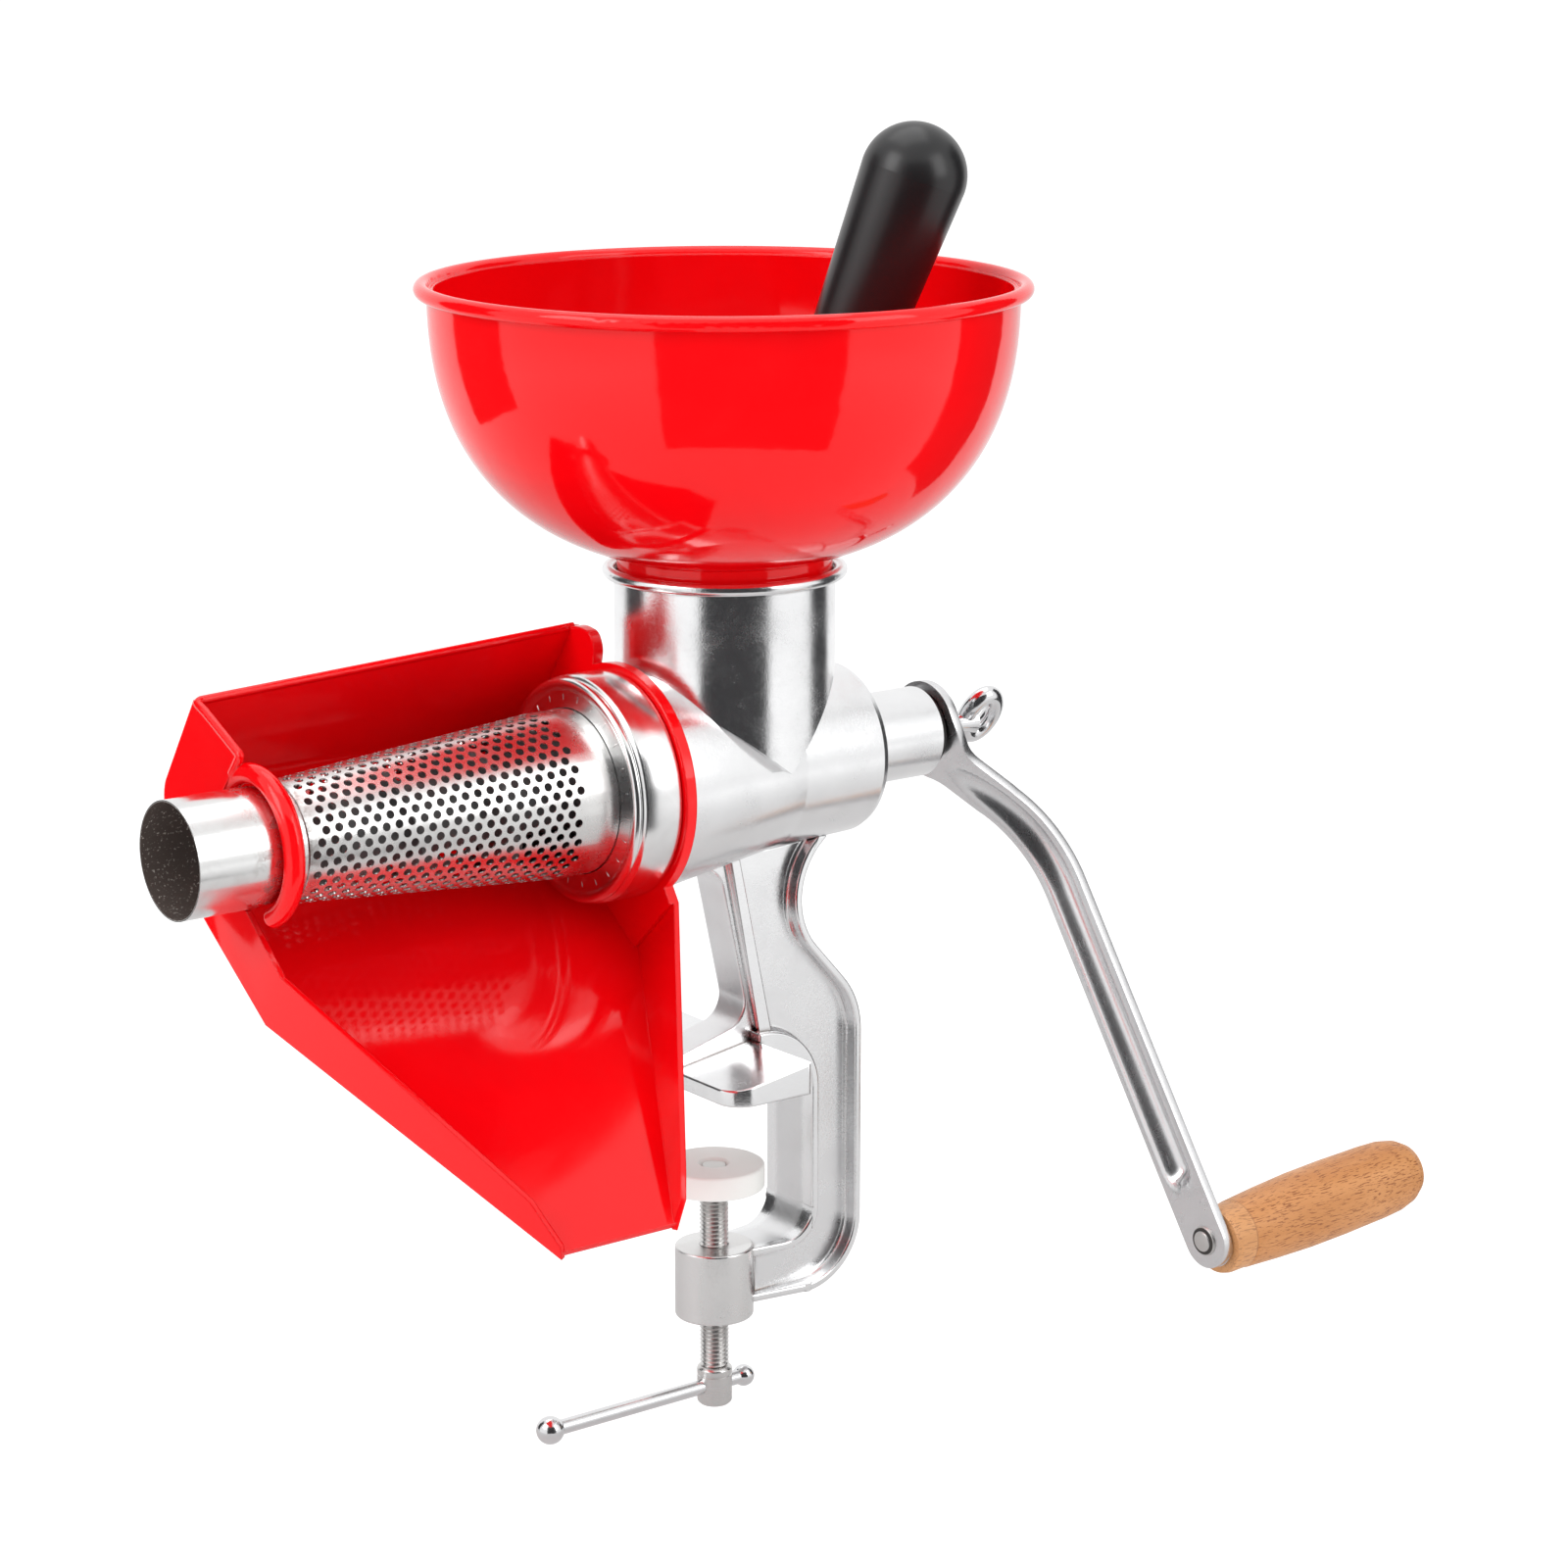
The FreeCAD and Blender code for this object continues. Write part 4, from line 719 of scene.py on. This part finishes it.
class STRAINER_OT_castings(bpy.types.Operator):
    """Finish of the casting and the parts that stay as they are in the CAD"""
    bl_idname = "strainer.castings"
    bl_label = "Casting and plain parts"

    def execute(self, context):
        finish = context.scene.strainer_finish
        red = tuple(finish.red)
        dark_red = (red[0] * 0.9, red[1], red[2], 1)
        black = tuple(finish.black)
        finishes = (
            (cast_material(), "body_casting", "clamp_frame"), (screen_material(), "screen_flange"),
            (tube_material(), "outlet_tube"), (beech_material(), "grip"),
            (plated_material("zinc_plate", rgb("zinc"), 0.25), "grip_washer", "auger_shaft", "auger_spring"),
            (plated_material("bright_plate", rgb("chrome"), 0.15, 0.04), "tommy_bar", "bar_knobs"),
            (plated_material("dull_plate", rgb("dull_steel"), 0.42), "pad_rivet"),
            (plastic_material("gloss_red", red, dark_red, 0.07, 0.04, rim=0.8, IOR=1.45), "hopper_bowl"),
            (plastic_material("satin_black", black, "black_flow", 0.3, 0.1), "pestle_body", "pestle_cap"),
            (plastic_material("white_nylon", "nylon", "nylon_flow", 0.42), "rear_bushing"),
            (plastic_material("dark_rubber", "rubber", "rubber_flow", 0.55), "mouth_gasket", "shaft_seal"),
            # Painted shade: the auger is painted dark grey so that, seen through the screen's holes, it
            # stands for the shade inside the screen.
            (plastic_material("auger_painted_shade", "grey", "grey_flow", 0.4), "auger"))
        for material, *names in finishes:
            for name in names:
                paint(NODES[name], material)
        return {"FINISHED"}


# ---- ring nut

NUT_PROFILE = (     # (along X, radius): face, bead, groove, band, bore
    (-61.6, 27.3), (-61.4, 32.4), (-61.7, 33.1), (-62.1, 33.7), (-62.35, 34.5), (-62.4, 35.2), (-62.2, 35.9),
    (-61.75, 36.5), (-61.1, 36.8), (-60.5, 36.85), (-60.0, 36.6), (-59.7, 36.2), (-59.4, 36.0),
    (-59.1, 36.1), (-58.8, 36.6), (-58.4, 37.2), (-57.9, 37.5), (-45.0, 37.5), (-44.4, 36.9),
    (-44.4, 34.65), (-59.4, 34.65), (-59.4, 27.3))
NUT_ROUNDS = ((0, 0.35), (17, 0.25), (18, 0.25))
TICKS = 24
TICK_START = 0.4            # the first mark, in steps from the top
TICK_SIZE = (0.3, 0.34, 1.9)
TICK_RADIUS = 30.6
TICK_FACE_X = -61.45


def copied(obj, name):
    """A copy with its own mesh."""
    take(obj)
    bpy.ops.object.duplicate()
    return added(name)


def joined(objects, name):
    deselect()
    for obj in objects:
        obj.select_set(True)
    bpy.context.view_layer.objects.active = objects[0]
    if len(objects) > 1:
        bpy.ops.object.join()
    return added(name)


def nut_ticks():
    """Short radial marks on the face of the nut."""
    deselect()
    bpy.ops.mesh.primitive_cube_add(size=1, location=place(TICK_FACE_X, 0, TICK_RADIUS))
    tick = added("nut_tick")
    tick.scale = [d * MM for d in TICK_SIZE]
    settle(tick)
    edit(tick, "EDGE")
    pick_all()
    bpy.ops.mesh.bevel(offset=0.08 * MM, segments=2)
    done()
    ticks = []
    for i in range(TICKS):
        other = copied(tick, "nut_tick_%02d" % i)
        turn = Matrix.Rotation(radians(360 / TICKS * (i + TICK_START)), 4, "X")
        other.data.transform(Matrix.Translation(AXIS) @ turn @ Matrix.Translation(-AXIS))
        ticks.append(other)
    bpy.data.objects.remove(tick)
    return joined(ticks, "ring_nut_marks")


class STRAINER_OT_nut(bpy.types.Operator):
    """Turned ring nut with its rolled bead, groove and marks"""
    bl_idname = "strainer.nut"
    bl_label = "Ring nut"

    def execute(self, context):
        finish = context.scene.strainer_finish
        turned_material("turned_ring", tuple(finish.steel), finish.polish + 0.06, 0.03, 0.03)
        nut = smooth(along_x("ring_nut_turned", NUT_PROFILE, NUT_ROUNDS), 50)
        ticks = smooth(nut_ticks(), 40)
        for obj in (nut, ticks):
            one_material(obj, "turned_ring")
            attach(obj, "ring")
        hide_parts("ring_nut")
        return {"FINISHED"}


# ---- perforated screen

SCREEN_BASE_X = -73.5
SCREEN_BASE_R = 27.0
SCREEN_TIP_X = -171.0
SCREEN_TIP_R = 19.2
SCREEN_END_X = -59.6
SCREEN_SHEET = 0.55
ROW_STEP = 0.00345
HOLE_SIDES = 12
BARE_AT_BASE = 0.0021
BARE_AT_TIP = 0.0018
BARE_AT_SEAM = 0.0016
SEAM_BEARING = radians(-60)      # the seam lies low at the back, seen along the barrel


def cone_slope():
    return atan2(SCREEN_BASE_R - SCREEN_TIP_R, SCREEN_BASE_X - SCREEN_TIP_X)


def cone_reach(radius):
    """Distance along the cone from its apex to a radius in millimetres."""
    return radius * MM / sin(cone_slope())


def perforation_cell(pitch, hole):
    """One cell of the flat sheet: a round hole in a rectangle that fits its neighbours."""
    cell = primitive("screen_sheet", "circle", vertices=HOLE_SIDES, radius=hole / 2, fill_type="NGON")
    half, side = pitch / 2, ROW_STEP / 2
    rim = ((1, 0), (1, 1), (0.5, 1), (0, 1), (-0.5, 1), (-1, 1), (-1, 0), (-1, -1), (-0.5, -1), (0, -1),
           (0.5, -1), (1, -1))
    edit(cell, "EDGE")
    choose(cell, lambda e: e.is_boundary, "EDGE")
    bpy.ops.mesh.extrude_edges_move(TRANSFORM_OT_translate={"value": (0, 0, 0)})
    mesh = bmesh.from_edit_mesh(cell.data)
    for vert in mesh.verts:
        if vert.select:
            turn = round(degrees(atan2(vert.co.y, vert.co.x)) / (360 / HOLE_SIDES)) % HOLE_SIDES
            vert.co = Vector((rim[turn][0] * half, rim[turn][1] * side, 0))
    bmesh.update_edit_mesh(cell.data)
    done()
    return cell


def flat_perforated_sheet(pitch, hole):
    """The cone's sheet laid flat, its apex at the origin and its middle along X."""
    cell = perforation_cell(pitch, hole)
    near, far = cone_reach(SCREEN_TIP_R), cone_reach(SCREEN_BASE_R)
    opening = pi * sin(cone_slope())
    columns = int((far - near * cos(opening)) / pitch) + 3
    rows = int(far * sin(opening) / ROW_STEP) + 2
    second = copied(cell, "screen_row")
    second.data.transform(Matrix.Translation((pitch / 2, ROW_STEP, 0)))
    sheet = joined([cell, second], "screen_sheet")
    for count, step in ((columns, (pitch, 0, 0)), (rows, (0, 2 * ROW_STEP, 0))):
        finish_with(sheet, "ARRAY", count=count, use_relative_offset=False, use_constant_offset=True,
                    constant_offset_displace=step)
    sheet.data.transform(Matrix.Translation((near * cos(opening) - pitch, -rows * ROW_STEP, 0)))
    edit(sheet)
    merge_points(CAD_POINT)
    for sign in (1, -1):
        pick_all()
        across = (-sin(opening), sign * cos(opening), 0)
        bpy.ops.mesh.bisect(plane_co=(0, 0, 0), plane_no=across, clear_outer=True, threshold=SAME_POINT)

    def is_hole(face):
        centre = face.calc_center_median()
        reach = centre.length
        to_seam = reach * sin(opening - abs(atan2(centre.y, centre.x)))
        return (len(face.verts) == HOLE_SIDES and near + BARE_AT_TIP < reach < far - BARE_AT_BASE
                and to_seam > BARE_AT_SEAM)

    choose(sheet, is_hole, "FACE")
    bpy.ops.mesh.delete(type="ONLY_FACE")
    done()
    return sheet


def roll_into_cone(sheet):
    slope = cone_slope()
    apex_x = SCREEN_TIP_X * MM - SCREEN_TIP_R * MM / tan(slope)
    for vert in sheet.data.vertices:
        reach = hypot(vert.co.x, vert.co.y)
        bearing = atan2(vert.co.y, vert.co.x) / sin(slope) + pi + SEAM_BEARING
        radius = reach * sin(slope)
        x = apex_x + reach * cos(slope)
        vert.co = Vector((x, radius * cos(bearing), radius * sin(bearing))) + AXIS


class STRAINER_OT_screen(bpy.types.Operator):
    """Perforated sheet rolled into the screen's cone, with its plain base"""
    bl_idname = "strainer.screen"
    bl_label = "Screen"

    def execute(self, context):
        sizes = context.scene.strainer_sizes
        sheet = flat_perforated_sheet(sizes.pitch, sizes.hole)
        roll_into_cone(sheet)
        edit(sheet)
        for x, normal in ((SCREEN_TIP_X, (-1, 0, 0)), (SCREEN_BASE_X, (1, 0, 0))):
            pick_all()
            bpy.ops.mesh.bisect(plane_co=place(x, 0, 0), plane_no=normal, clear_outer=True,
                                threshold=SAME_POINT)
        base = place(SCREEN_BASE_X, 0, 0).x
        choose(sheet, lambda e: e.is_boundary and all(v.co.x > base - 2e-5 for v in e.verts), "EDGE")
        along = ((SCREEN_END_X - SCREEN_BASE_X) * MM, 0, 0)
        bpy.ops.mesh.extrude_edges_move(TRANSFORM_OT_translate={"value": along})
        pick_all()
        bpy.ops.mesh.normals_make_consistent(inside=False)
        done()
        middle = sheet.data.polygons[0]
        outward = Vector((0, middle.center.y - AXIS.y, middle.center.z - AXIS.z))
        if middle.normal.dot(outward) < 0:
            sheet.data.flip_normals()
        finish_with(sheet, "SOLIDIFY", thickness=SCREEN_SHEET * MM, offset=-1)
        smooth(sheet, 40)
        one_material(sheet, "screen_sheet")
        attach(sheet, "frame")
        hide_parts("screen_cone")
        return {"FINISHED"}


# ---- crank arm

# (x, along the arm) of the sheet's middle
ARM_PATH = ((86.3, -17.0), (86.3, 8.5), (120.4, 45.2), (128.0, 207.0))
ARM_ROUNDS = (18.0, 54.0)
ARM_BEARING = radians(32)
HUB_RADIUS = 16.8
ARM_HALF = 9.7
ARM_END = 194.7
ARM_SHEET = 3.2
HUB_FLOW = 3.0
HUB_TOP = 2.0               # the hub starts to flow into the arm here, and has done so at FLOW_END
FLOW_END = 30.0
FLOW_RISE = 0.2
ARM_ROW_STEP = 1.6
ARM_COLUMNS = 29
GROOVE_HALF = 7.2
GROOVE_DEPTH = 5.0
GROOVE_START = 23.0
GROOVE_END = 176.0
GROOVE_LEAD = 0.45
DRIVE_SIDE = 9.7
SPINDLE_PROFILE = (         # (distance from the arm's middle towards the grip, radius)
    (-3.2, 0), (-3.2, 3.2), (-3.1, 3.45), (-2.8, 3.6), (-2.3, 3.6), (-2.3, 4.9), (-2.1, 5.1),
    (-1.5, 5.2), (-1.5, 4.0), (93.2, 4.0), (93.2, 6.2), (95.0, 6.2), (96.2, 4.7), (96.2, 0))
SEAL_PROFILE = ((-2.2, 3.4), (-2.6, 3.5), (-2.75, 3.8), (-2.75, 4.3), (-2.6, 4.65), (-2.2, 4.7))


def rounded_points(corners, rounds):
    """A path through corners with round bends, as points about 1 mm apart."""
    pts = [Vector(c) for c in corners]
    out = [pts[0]]
    for before, at, after, radius in zip(pts, pts[1:], pts[2:], rounds):
        a, b = (before - at).normalized(), (after - at).normalized()
        half = a.angle(b) / 2
        reach = radius / tan(half)
        centre = at + (a + b).normalized() * (radius / sin(half))
        first, last = at + a * reach, at + b * reach
        turns = max(4, int(radius * (pi - 2 * half)))
        for i in range(turns + 1):
            arm = (first - centre).lerp(last - centre, i / turns)
            out.append(centre + arm.normalized() * radius)
    out.append(pts[-1])
    return out


def on_path(points, along):
    """Place and slope of a path of (x, along) points at a distance along the arm."""
    for a, b in zip(points, points[1:]):
        if a.y <= along <= b.y and b.y > a.y:
            share = (along - a.y) / (b.y - a.y)
            return a.lerp(b, share), (b - a).normalized()
    a, b = points[-2], points[-1]
    return b, (b - a).normalized()


def arm_half_width(along):
    hub = sqrt(max(HUB_RADIUS ** 2 - along ** 2, 0)) if along < HUB_RADIUS else 0
    side = ARM_HALF if along < ARM_END else sqrt(max(ARM_HALF ** 2 - (along - ARM_END) ** 2, 0))
    if along < HUB_TOP:
        return hub
    if along >= FLOW_END:
        return side
    flow = HUB_FLOW ** 2 * min(1, FLOW_RISE * (along - HUB_TOP))
    return 0.5 * (hub + side + sqrt((hub - side) ** 2 + flow))


def groove_depth(along, across):
    """Depth of the pressed groove: round across, with a long lead-in and a round end."""
    beyond = 0
    if along < GROOVE_START + GROOVE_HALF:
        beyond = (GROOVE_START + GROOVE_HALF - along) * GROOVE_LEAD
    elif along > GROOVE_END - GROOVE_HALF:
        beyond = along - (GROOVE_END - GROOVE_HALF)
    share = hypot(beyond, across) / GROOVE_HALF
    return GROOVE_DEPTH * (1 - share ** 2) if share < 1 else 0.0


def arm_rows():
    rows = [-HUB_RADIUS * cos(radians(a)) for a in range(4, 90, 6)]
    rows += [i * ARM_ROW_STEP for i in range(1, int(ARM_END / ARM_ROW_STEP))]
    rows += [ARM_END + ARM_HALF * sin(radians(a)) for a in range(2, 88, 6)]
    return rows


class STRAINER_OT_crank(bpy.types.Operator):
    """Crank arm of plated sheet with its pressed groove"""
    bl_idname = "strainer.crank"
    bl_label = "Crank arm"

    def execute(self, context):
        rows = arm_rows()
        arm = primitive("crank_arm_pressed", "grid", x_subdivisions=ARM_COLUMNS - 1,
                        y_subdivisions=len(rows) - 1, size=1)
        path = rounded_points(ARM_PATH, ARM_ROUNDS)
        down = Vector((0, -sin(ARM_BEARING), -cos(ARM_BEARING)))
        wide = Vector((1, 0, 0)).cross(down)
        for vert in arm.data.vertices:
            along = rows[round((vert.co.y + 0.5) * (len(rows) - 1))]
            across = vert.co.x * 2 * arm_half_width(along)
            at, slope = on_path(path, along)
            outward = Vector((slope.y, -slope.x))
            spot = at + outward * groove_depth(along, across)
            vert.co = (Vector((spot.x, 0, 0)) + down * spot.y + wide * across) * MM + AXIS
        finish_with(arm, "SOLIDIFY", thickness=ARM_SHEET * MM, offset=0)
        tidy_normals(arm)
        finish_with(arm, "BEVEL", width=0.7 * MM, segments=3, limit_method="ANGLE",
                    angle_limit=radians(60))
        square = primitive("drive_square", "cube", size=DRIVE_SIDE * MM,
                           location=place(ARM_PATH[0][0], 0, 0), rotation=(ARM_BEARING, 0, 0))
        finish_with(arm, "BOOLEAN", object=square, operation="DIFFERENCE", solver="EXACT")
        bpy.data.objects.remove(square)
        smooth(arm, 38)
        one_material(arm, "zinc_plate")
        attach(arm, "crank")
        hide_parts("crank_arm")
        at, slope = on_path(path, ARM_END)
        root = (Vector((at.x, 0, 0)) + down * at.y) * MM + AXIS
        along = Vector((slope.y, 0, 0)) - down * slope.x

        def about_spindle(name, points, closed):
            profile = [root + (along * d + wide * r) * MM for d, r in points]
            return smooth(turned(name, profile, along, root, 64, closed=closed), 50)

        spindle = about_spindle("grip_spindle_riveted", SPINDLE_PROFILE, False)
        one_material(spindle, "dull_plate")
        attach(spindle, "crank")
        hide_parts("grip_spindle")
        seal = about_spindle("rivet_seal", SEAL_PROFILE, True)
        one_material(seal, "dark_rubber")
        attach(seal, "crank")
        return {"FINISHED"}


# ---- casting and tray with softened edges

EAR_CORNERS = ((21.0, 48.7), (14.2, 47.6), (11.7, 42.6))      # (Y, Z) of the outline above the tray's ring
EAR_ROUND = 2.0
EAR_NEAR = 4e-4
CORNER_NEAR = 5e-4
WEB_HALF = 7.5
WEB_FILLET = 1.7
EDGE_ROUND = 0.8
EDGE_LIMIT = radians(32)
SHORT_EDGE = 1e-3
TRAY_CORNERS = (            # both ends of an upright corner edge, and its round
    ((-182.0, 31.9, 40.6), (-182.0, 49.1, 12.9), 1.8), ((-180.1, 29.7, 40.4), (-180.1, 47.5, 11.9), 0.8))
LIP_PATH = ((-42.3, 26.5, 47.6), (-181.0, 30.7, 40.3), (-181.05, 24.0, 37.8), (-181.05, 3.6, 28.1),
            (-181.05, 9.4, 20.9))
LIP_ROUNDS = ((1, 2.2), (3, 1.2))
LIP_R = 1.3


def merged_copy(node, name):
    """A copy of a CAD node as one skin of whole faces, where the node is."""
    obj = copied(NODES[node], name)
    obj.modifiers.clear()
    edit(obj)
    merge_points(CAD_POINT)
    bpy.ops.mesh.dissolve_limited(angle_limit=radians(0.05))
    done()
    take(obj)
    bpy.ops.mesh.customdata_custom_splitnormals_clear()
    return obj


def bevel_edges(obj, test, width, segments):
    """Bevel the edges that pass the test, in edit mode."""
    choose(obj, test, "EDGE")
    if any(edge.select for edge in bmesh.from_edit_mesh(obj.data).edges):
        bpy.ops.mesh.bevel(offset=width * MM, segments=segments, clamp_overlap=False)


def on_web(edge):
    """Whether the edge is an inner corner that lies on a face of the clamp's web."""
    flat = all(abs(abs(v.co.y) - WEB_HALF * MM) < 2e-4 for v in edge.verts)
    low = all((v.co - place(4.5, v.co.y / MM, -94.5)).length > 4e-3 for v in edge.verts)
    return flat and low and len(edge.link_faces) == 2 and edge.calc_face_angle_signed() < -EDGE_LIMIT


def is_outer(edge):
    """Whether the edge is a sharp outer corner that has room for a round."""
    return (len(edge.link_faces) == 2 and edge.calc_face_angle_signed() > EDGE_LIMIT
            and edge.calc_length() > SHORT_EDGE)


def shade_flats(obj):
    smooth(obj, 40)
    finish_with(obj, "WEIGHTED_NORMAL", keep_sharp=True, weight=60)


FLARE_PROFILE = (           # the barrel's mouth flows into its side in one long slope
    (-40.3, 29.9), (-40.3, 37.4), (12.0, 30.15), (12.0, 28.5))


class STRAINER_OT_soft_castings(bpy.types.Operator):
    """Clamp frame with the fillets and soft edges of a tumbled casting, and the barrel's flared mouth"""
    bl_idname = "strainer.soft_castings"
    bl_label = "Clamp frame and mouth flare"

    def execute(self, context):
        clamp = merged_copy("clamp_frame", "clamp_frame_tumbled")
        edit(clamp)
        bevel_edges(clamp, on_web, WEB_FILLET, 4)
        bevel_edges(clamp, is_outer, EDGE_ROUND, 3)
        done()
        shade_flats(clamp)
        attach(clamp, "frame")
        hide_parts("clamp_frame")
        flare = smooth(along_x("mouth_flare", FLARE_PROFILE, ((1, 0.5),)), 50)
        one_material(flare, "cast_aluminium")
        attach(flare, "frame")
        return {"FINISHED"}


def tray_lip():
    """The round lip along the top of the tray's back and end."""
    points = [place(*p) for p in LIP_PATH]
    lip = start_line("tray_lip", points[0])
    draw_line(points)
    round_corners(lip, [(points[i], radius * MM, 5) for i, radius in LIP_ROUNDS])
    done()
    take(lip)
    bpy.ops.object.convert(target="CURVE")
    lip.data.bevel_depth = LIP_R * MM
    lip.data.bevel_resolution = 5
    lip.data.use_fill_caps = True
    bpy.ops.object.convert(target="MESH")
    return tidy_normals(bpy.context.object)


class STRAINER_OT_tray(bpy.types.Operator):
    """Moulded tray with a round ear over its mounting ring and a round lip along its top"""
    bl_idname = "strainer.tray"
    bl_label = "Drip tray"

    def execute(self, context):
        tray = merged_copy("drip_tray", "drip_tray_moulded")
        edit(tray)
        for y, z in EAR_CORNERS:
            spot = place(0, y, z)
            bevel_edges(tray, lambda e: all((v.co - spot).yz.length < EAR_NEAR for v in e.verts),
                        EAR_ROUND, 4)
        for first, last, width in TRAY_CORNERS:
            ends = (place(*first), place(*last))
            bevel_edges(tray, lambda e: all(min((v.co - end).length for v in e.verts) < CORNER_NEAR
                                            for end in ends), width, 4)
        done()
        shade_flats(tray)
        lip = smooth(tray_lip(), 50)
        tray = joined([tray, lip], "drip_tray_moulded")
        one_material(tray, "gloss_red")
        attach(tray, "tray")
        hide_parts("drip_tray")
        return {"FINISHED"}


# ---- eye screw

EYE_CENTRE_X = 110.0
EYE_ALONG = 5.8             # half widths of the ring's middle line, along the screw and across it
EYE_ACROSS = 8.6
EYE_WIRE = 3.3
EYE_LIFT = 2.0
EYE_TURN = radians(30)
NECK_PROFILE = ((84.0, 0), (84.0, 6.8), (90.6, 6.8), (90.9, 6.5), (90.9, 3.6), (96.0, 3.1), (101.5, 3.0),
                (104.5, 3.5), (107.0, 4.2), (107.0, 0))


class STRAINER_OT_eye(bpy.types.Operator):
    """Eye screw that holds the crank"""
    bl_idname = "strainer.eye"
    bl_label = "Eye screw"

    def execute(self, context):
        ring = primitive("eye_ring", "torus", major_segments=96, minor_segments=32, major_radius=1.0,
                         minor_radius=EYE_WIRE / EYE_ACROSS)
        for vert in ring.data.vertices:
            flat = Vector((vert.co.x, vert.co.y, 0))
            unit = flat.normalized()
            out = (flat.length - 1) * EYE_ACROSS
            x = unit.x * (EYE_ALONG + out)
            up = unit.y * (EYE_ACROSS + out)
            side = vert.co.z * EYE_ACROSS
            vert.co = place(EYE_CENTRE_X + x, -sin(EYE_TURN) * up + cos(EYE_TURN) * side,
                            cos(EYE_TURN) * up + sin(EYE_TURN) * side + EYE_LIFT)
        neck = along_x("eye_neck", NECK_PROFILE, ((2, 0.2), (4, 0.3)), 64, False)
        eye = smooth(joined([tidy_normals(ring), neck], "eye_screw_forged"), 40)
        one_material(eye, "bright_plate")
        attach(eye, "crank")
        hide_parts("eye_screw")
        return {"FINISHED"}


# ---- clamp screw and pad

THREAD_TOP_Z = -145.2
THREAD_END_Z = -212.0
THREAD_R = 4.98
THREAD_TOOTH = (         # (depth under the crest, share of the pitch)
    (0.85, 0.0), (0.1, 0.42), (0.0, 0.5), (0.1, 0.58), (0.85, 1.0))
HEAD_PROFILE = ((0, -210.9), (5.1, -210.9), (6.0, -211.8), (6.0, -213.6), (5.75, -213.8), (5.75, -214.1),
                (6.0, -214.3), (6.0, -223.7), (4.9, -224.8), (0, -224.8))
HEAD_ROUNDS = ((1, 0.3), (2, 0.3), (7, 0.4), (8, 0.4))
NOSE_PROFILE = ((0, -140.0), (3.1, -140.0), (3.1, -145.0), (4.2, -145.4), (4.2, -147.0), (0, -147.0))
PAD_PROFILE = ((0, -140.4), (3.4, -140.4), (4.9, -138.5), (5.5, -138.0), (17.3, -138.0), (17.3, -146.4),
               (5.0, -146.4), (4.4, -145.6), (0, -145.6))
PAD_ROUNDS = ((2, 0.5), (3, 0.4), (4, 1.1), (5, 1.0), (6, 0.3))


def threaded_rod(pitch):
    """A rod with a V thread, wound with the Screw modifier and capped."""
    points = [Vector(((THREAD_R - inset) * MM, 0, share * pitch)) for inset, share in THREAD_TOOTH]
    rod = start_line("clamp_thread", points[0])
    draw_line(points)
    done()
    turns = int((THREAD_TOP_Z - THREAD_END_Z) * MM / pitch)
    finish_with(rod, "SCREW", axis="Z", angle=FULL_TURN, screw_offset=pitch, iterations=turns, steps=28,
                render_steps=28, use_merge_vertices=True, merge_threshold=SAME_POINT)
    rod.data.transform(Matrix.Translation(place(SCREW_X_MM, 0, THREAD_END_Z)))
    edit(rod)
    merge_points()
    bpy.ops.mesh.fill_holes(sides=0)
    done()
    return tidy_normals(rod)


class STRAINER_OT_clamp(bpy.types.Operator):
    """Threaded clamp screw with its head, and the nylon pad"""
    bl_idname = "strainer.clamp"
    bl_label = "Clamp screw and pad"

    def execute(self, context):
        rod = threaded_rod(context.scene.strainer_sizes.thread)
        head = along_screw("clamp_head", HEAD_PROFILE, HEAD_ROUNDS, closed=False)
        nose = along_screw("clamp_nose", NOSE_PROFILE, closed=False)
        screw = smooth(joined([rod, head, nose], "clamp_screw_threaded"), 35)
        turned_material("screw_steel", rgb("screw_steel"), 0.24, 0.12, axis="Z",
                        centre=(SCREW_X_MM * MM, 0, 0))
        one_material(screw, "screw_steel")
        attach(screw, "screw")
        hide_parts("clamp_screw")
        pad = smooth(along_screw("clamp_pad_moulded", PAD_PROFILE, PAD_ROUNDS, 96, False), 50)
        one_material(pad, "white_nylon")
        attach(pad, "pad")
        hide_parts("clamp_pad")
        return {"FINISHED"}


class STRAINER_PT_panel(bpy.types.Panel):
    """Lists the strainer's steps"""
    bl_idname = "STRAINER_PT_panel"
    bl_label = "Tomato strainer"
    bl_space_type = "VIEW_3D"
    bl_region_type = "UI"
    bl_category = "Strainer"

    def draw(self, context):
        for group in (context.scene.strainer_sizes, context.scene.strainer_finish):
            for key in group.bl_rna.properties.keys():
                if key not in ("rna_type", "name"):
                    self.layout.prop(group, key)
        for step in STEPS:
            self.layout.operator(step.bl_idname)


STEPS = (STRAINER_OT_stage, STRAINER_OT_castings, STRAINER_OT_nut, STRAINER_OT_screen, STRAINER_OT_crank,
         STRAINER_OT_clamp, STRAINER_OT_soft_castings, STRAINER_OT_tray, STRAINER_OT_eye)
CLASSES = (StrainerFinish, StrainerSizes) + STEPS + (STRAINER_PT_panel,)


def register():
    for cls in CLASSES:
        bpy.utils.register_class(cls)
    bpy.types.Scene.strainer_finish = bpy.props.PointerProperty(type=StrainerFinish)
    bpy.types.Scene.strainer_sizes = bpy.props.PointerProperty(type=StrainerSizes)


def unregister():
    del bpy.types.Scene.strainer_sizes
    del bpy.types.Scene.strainer_finish
    for cls in reversed(CLASSES):
        bpy.utils.unregister_class(cls)


def main():
    register()
    for step in STEPS:
        group, name = step.bl_idname.split(".")
        getattr(getattr(bpy.ops, group), name)()
    deselect()


if __name__ == "__main__":
    main()
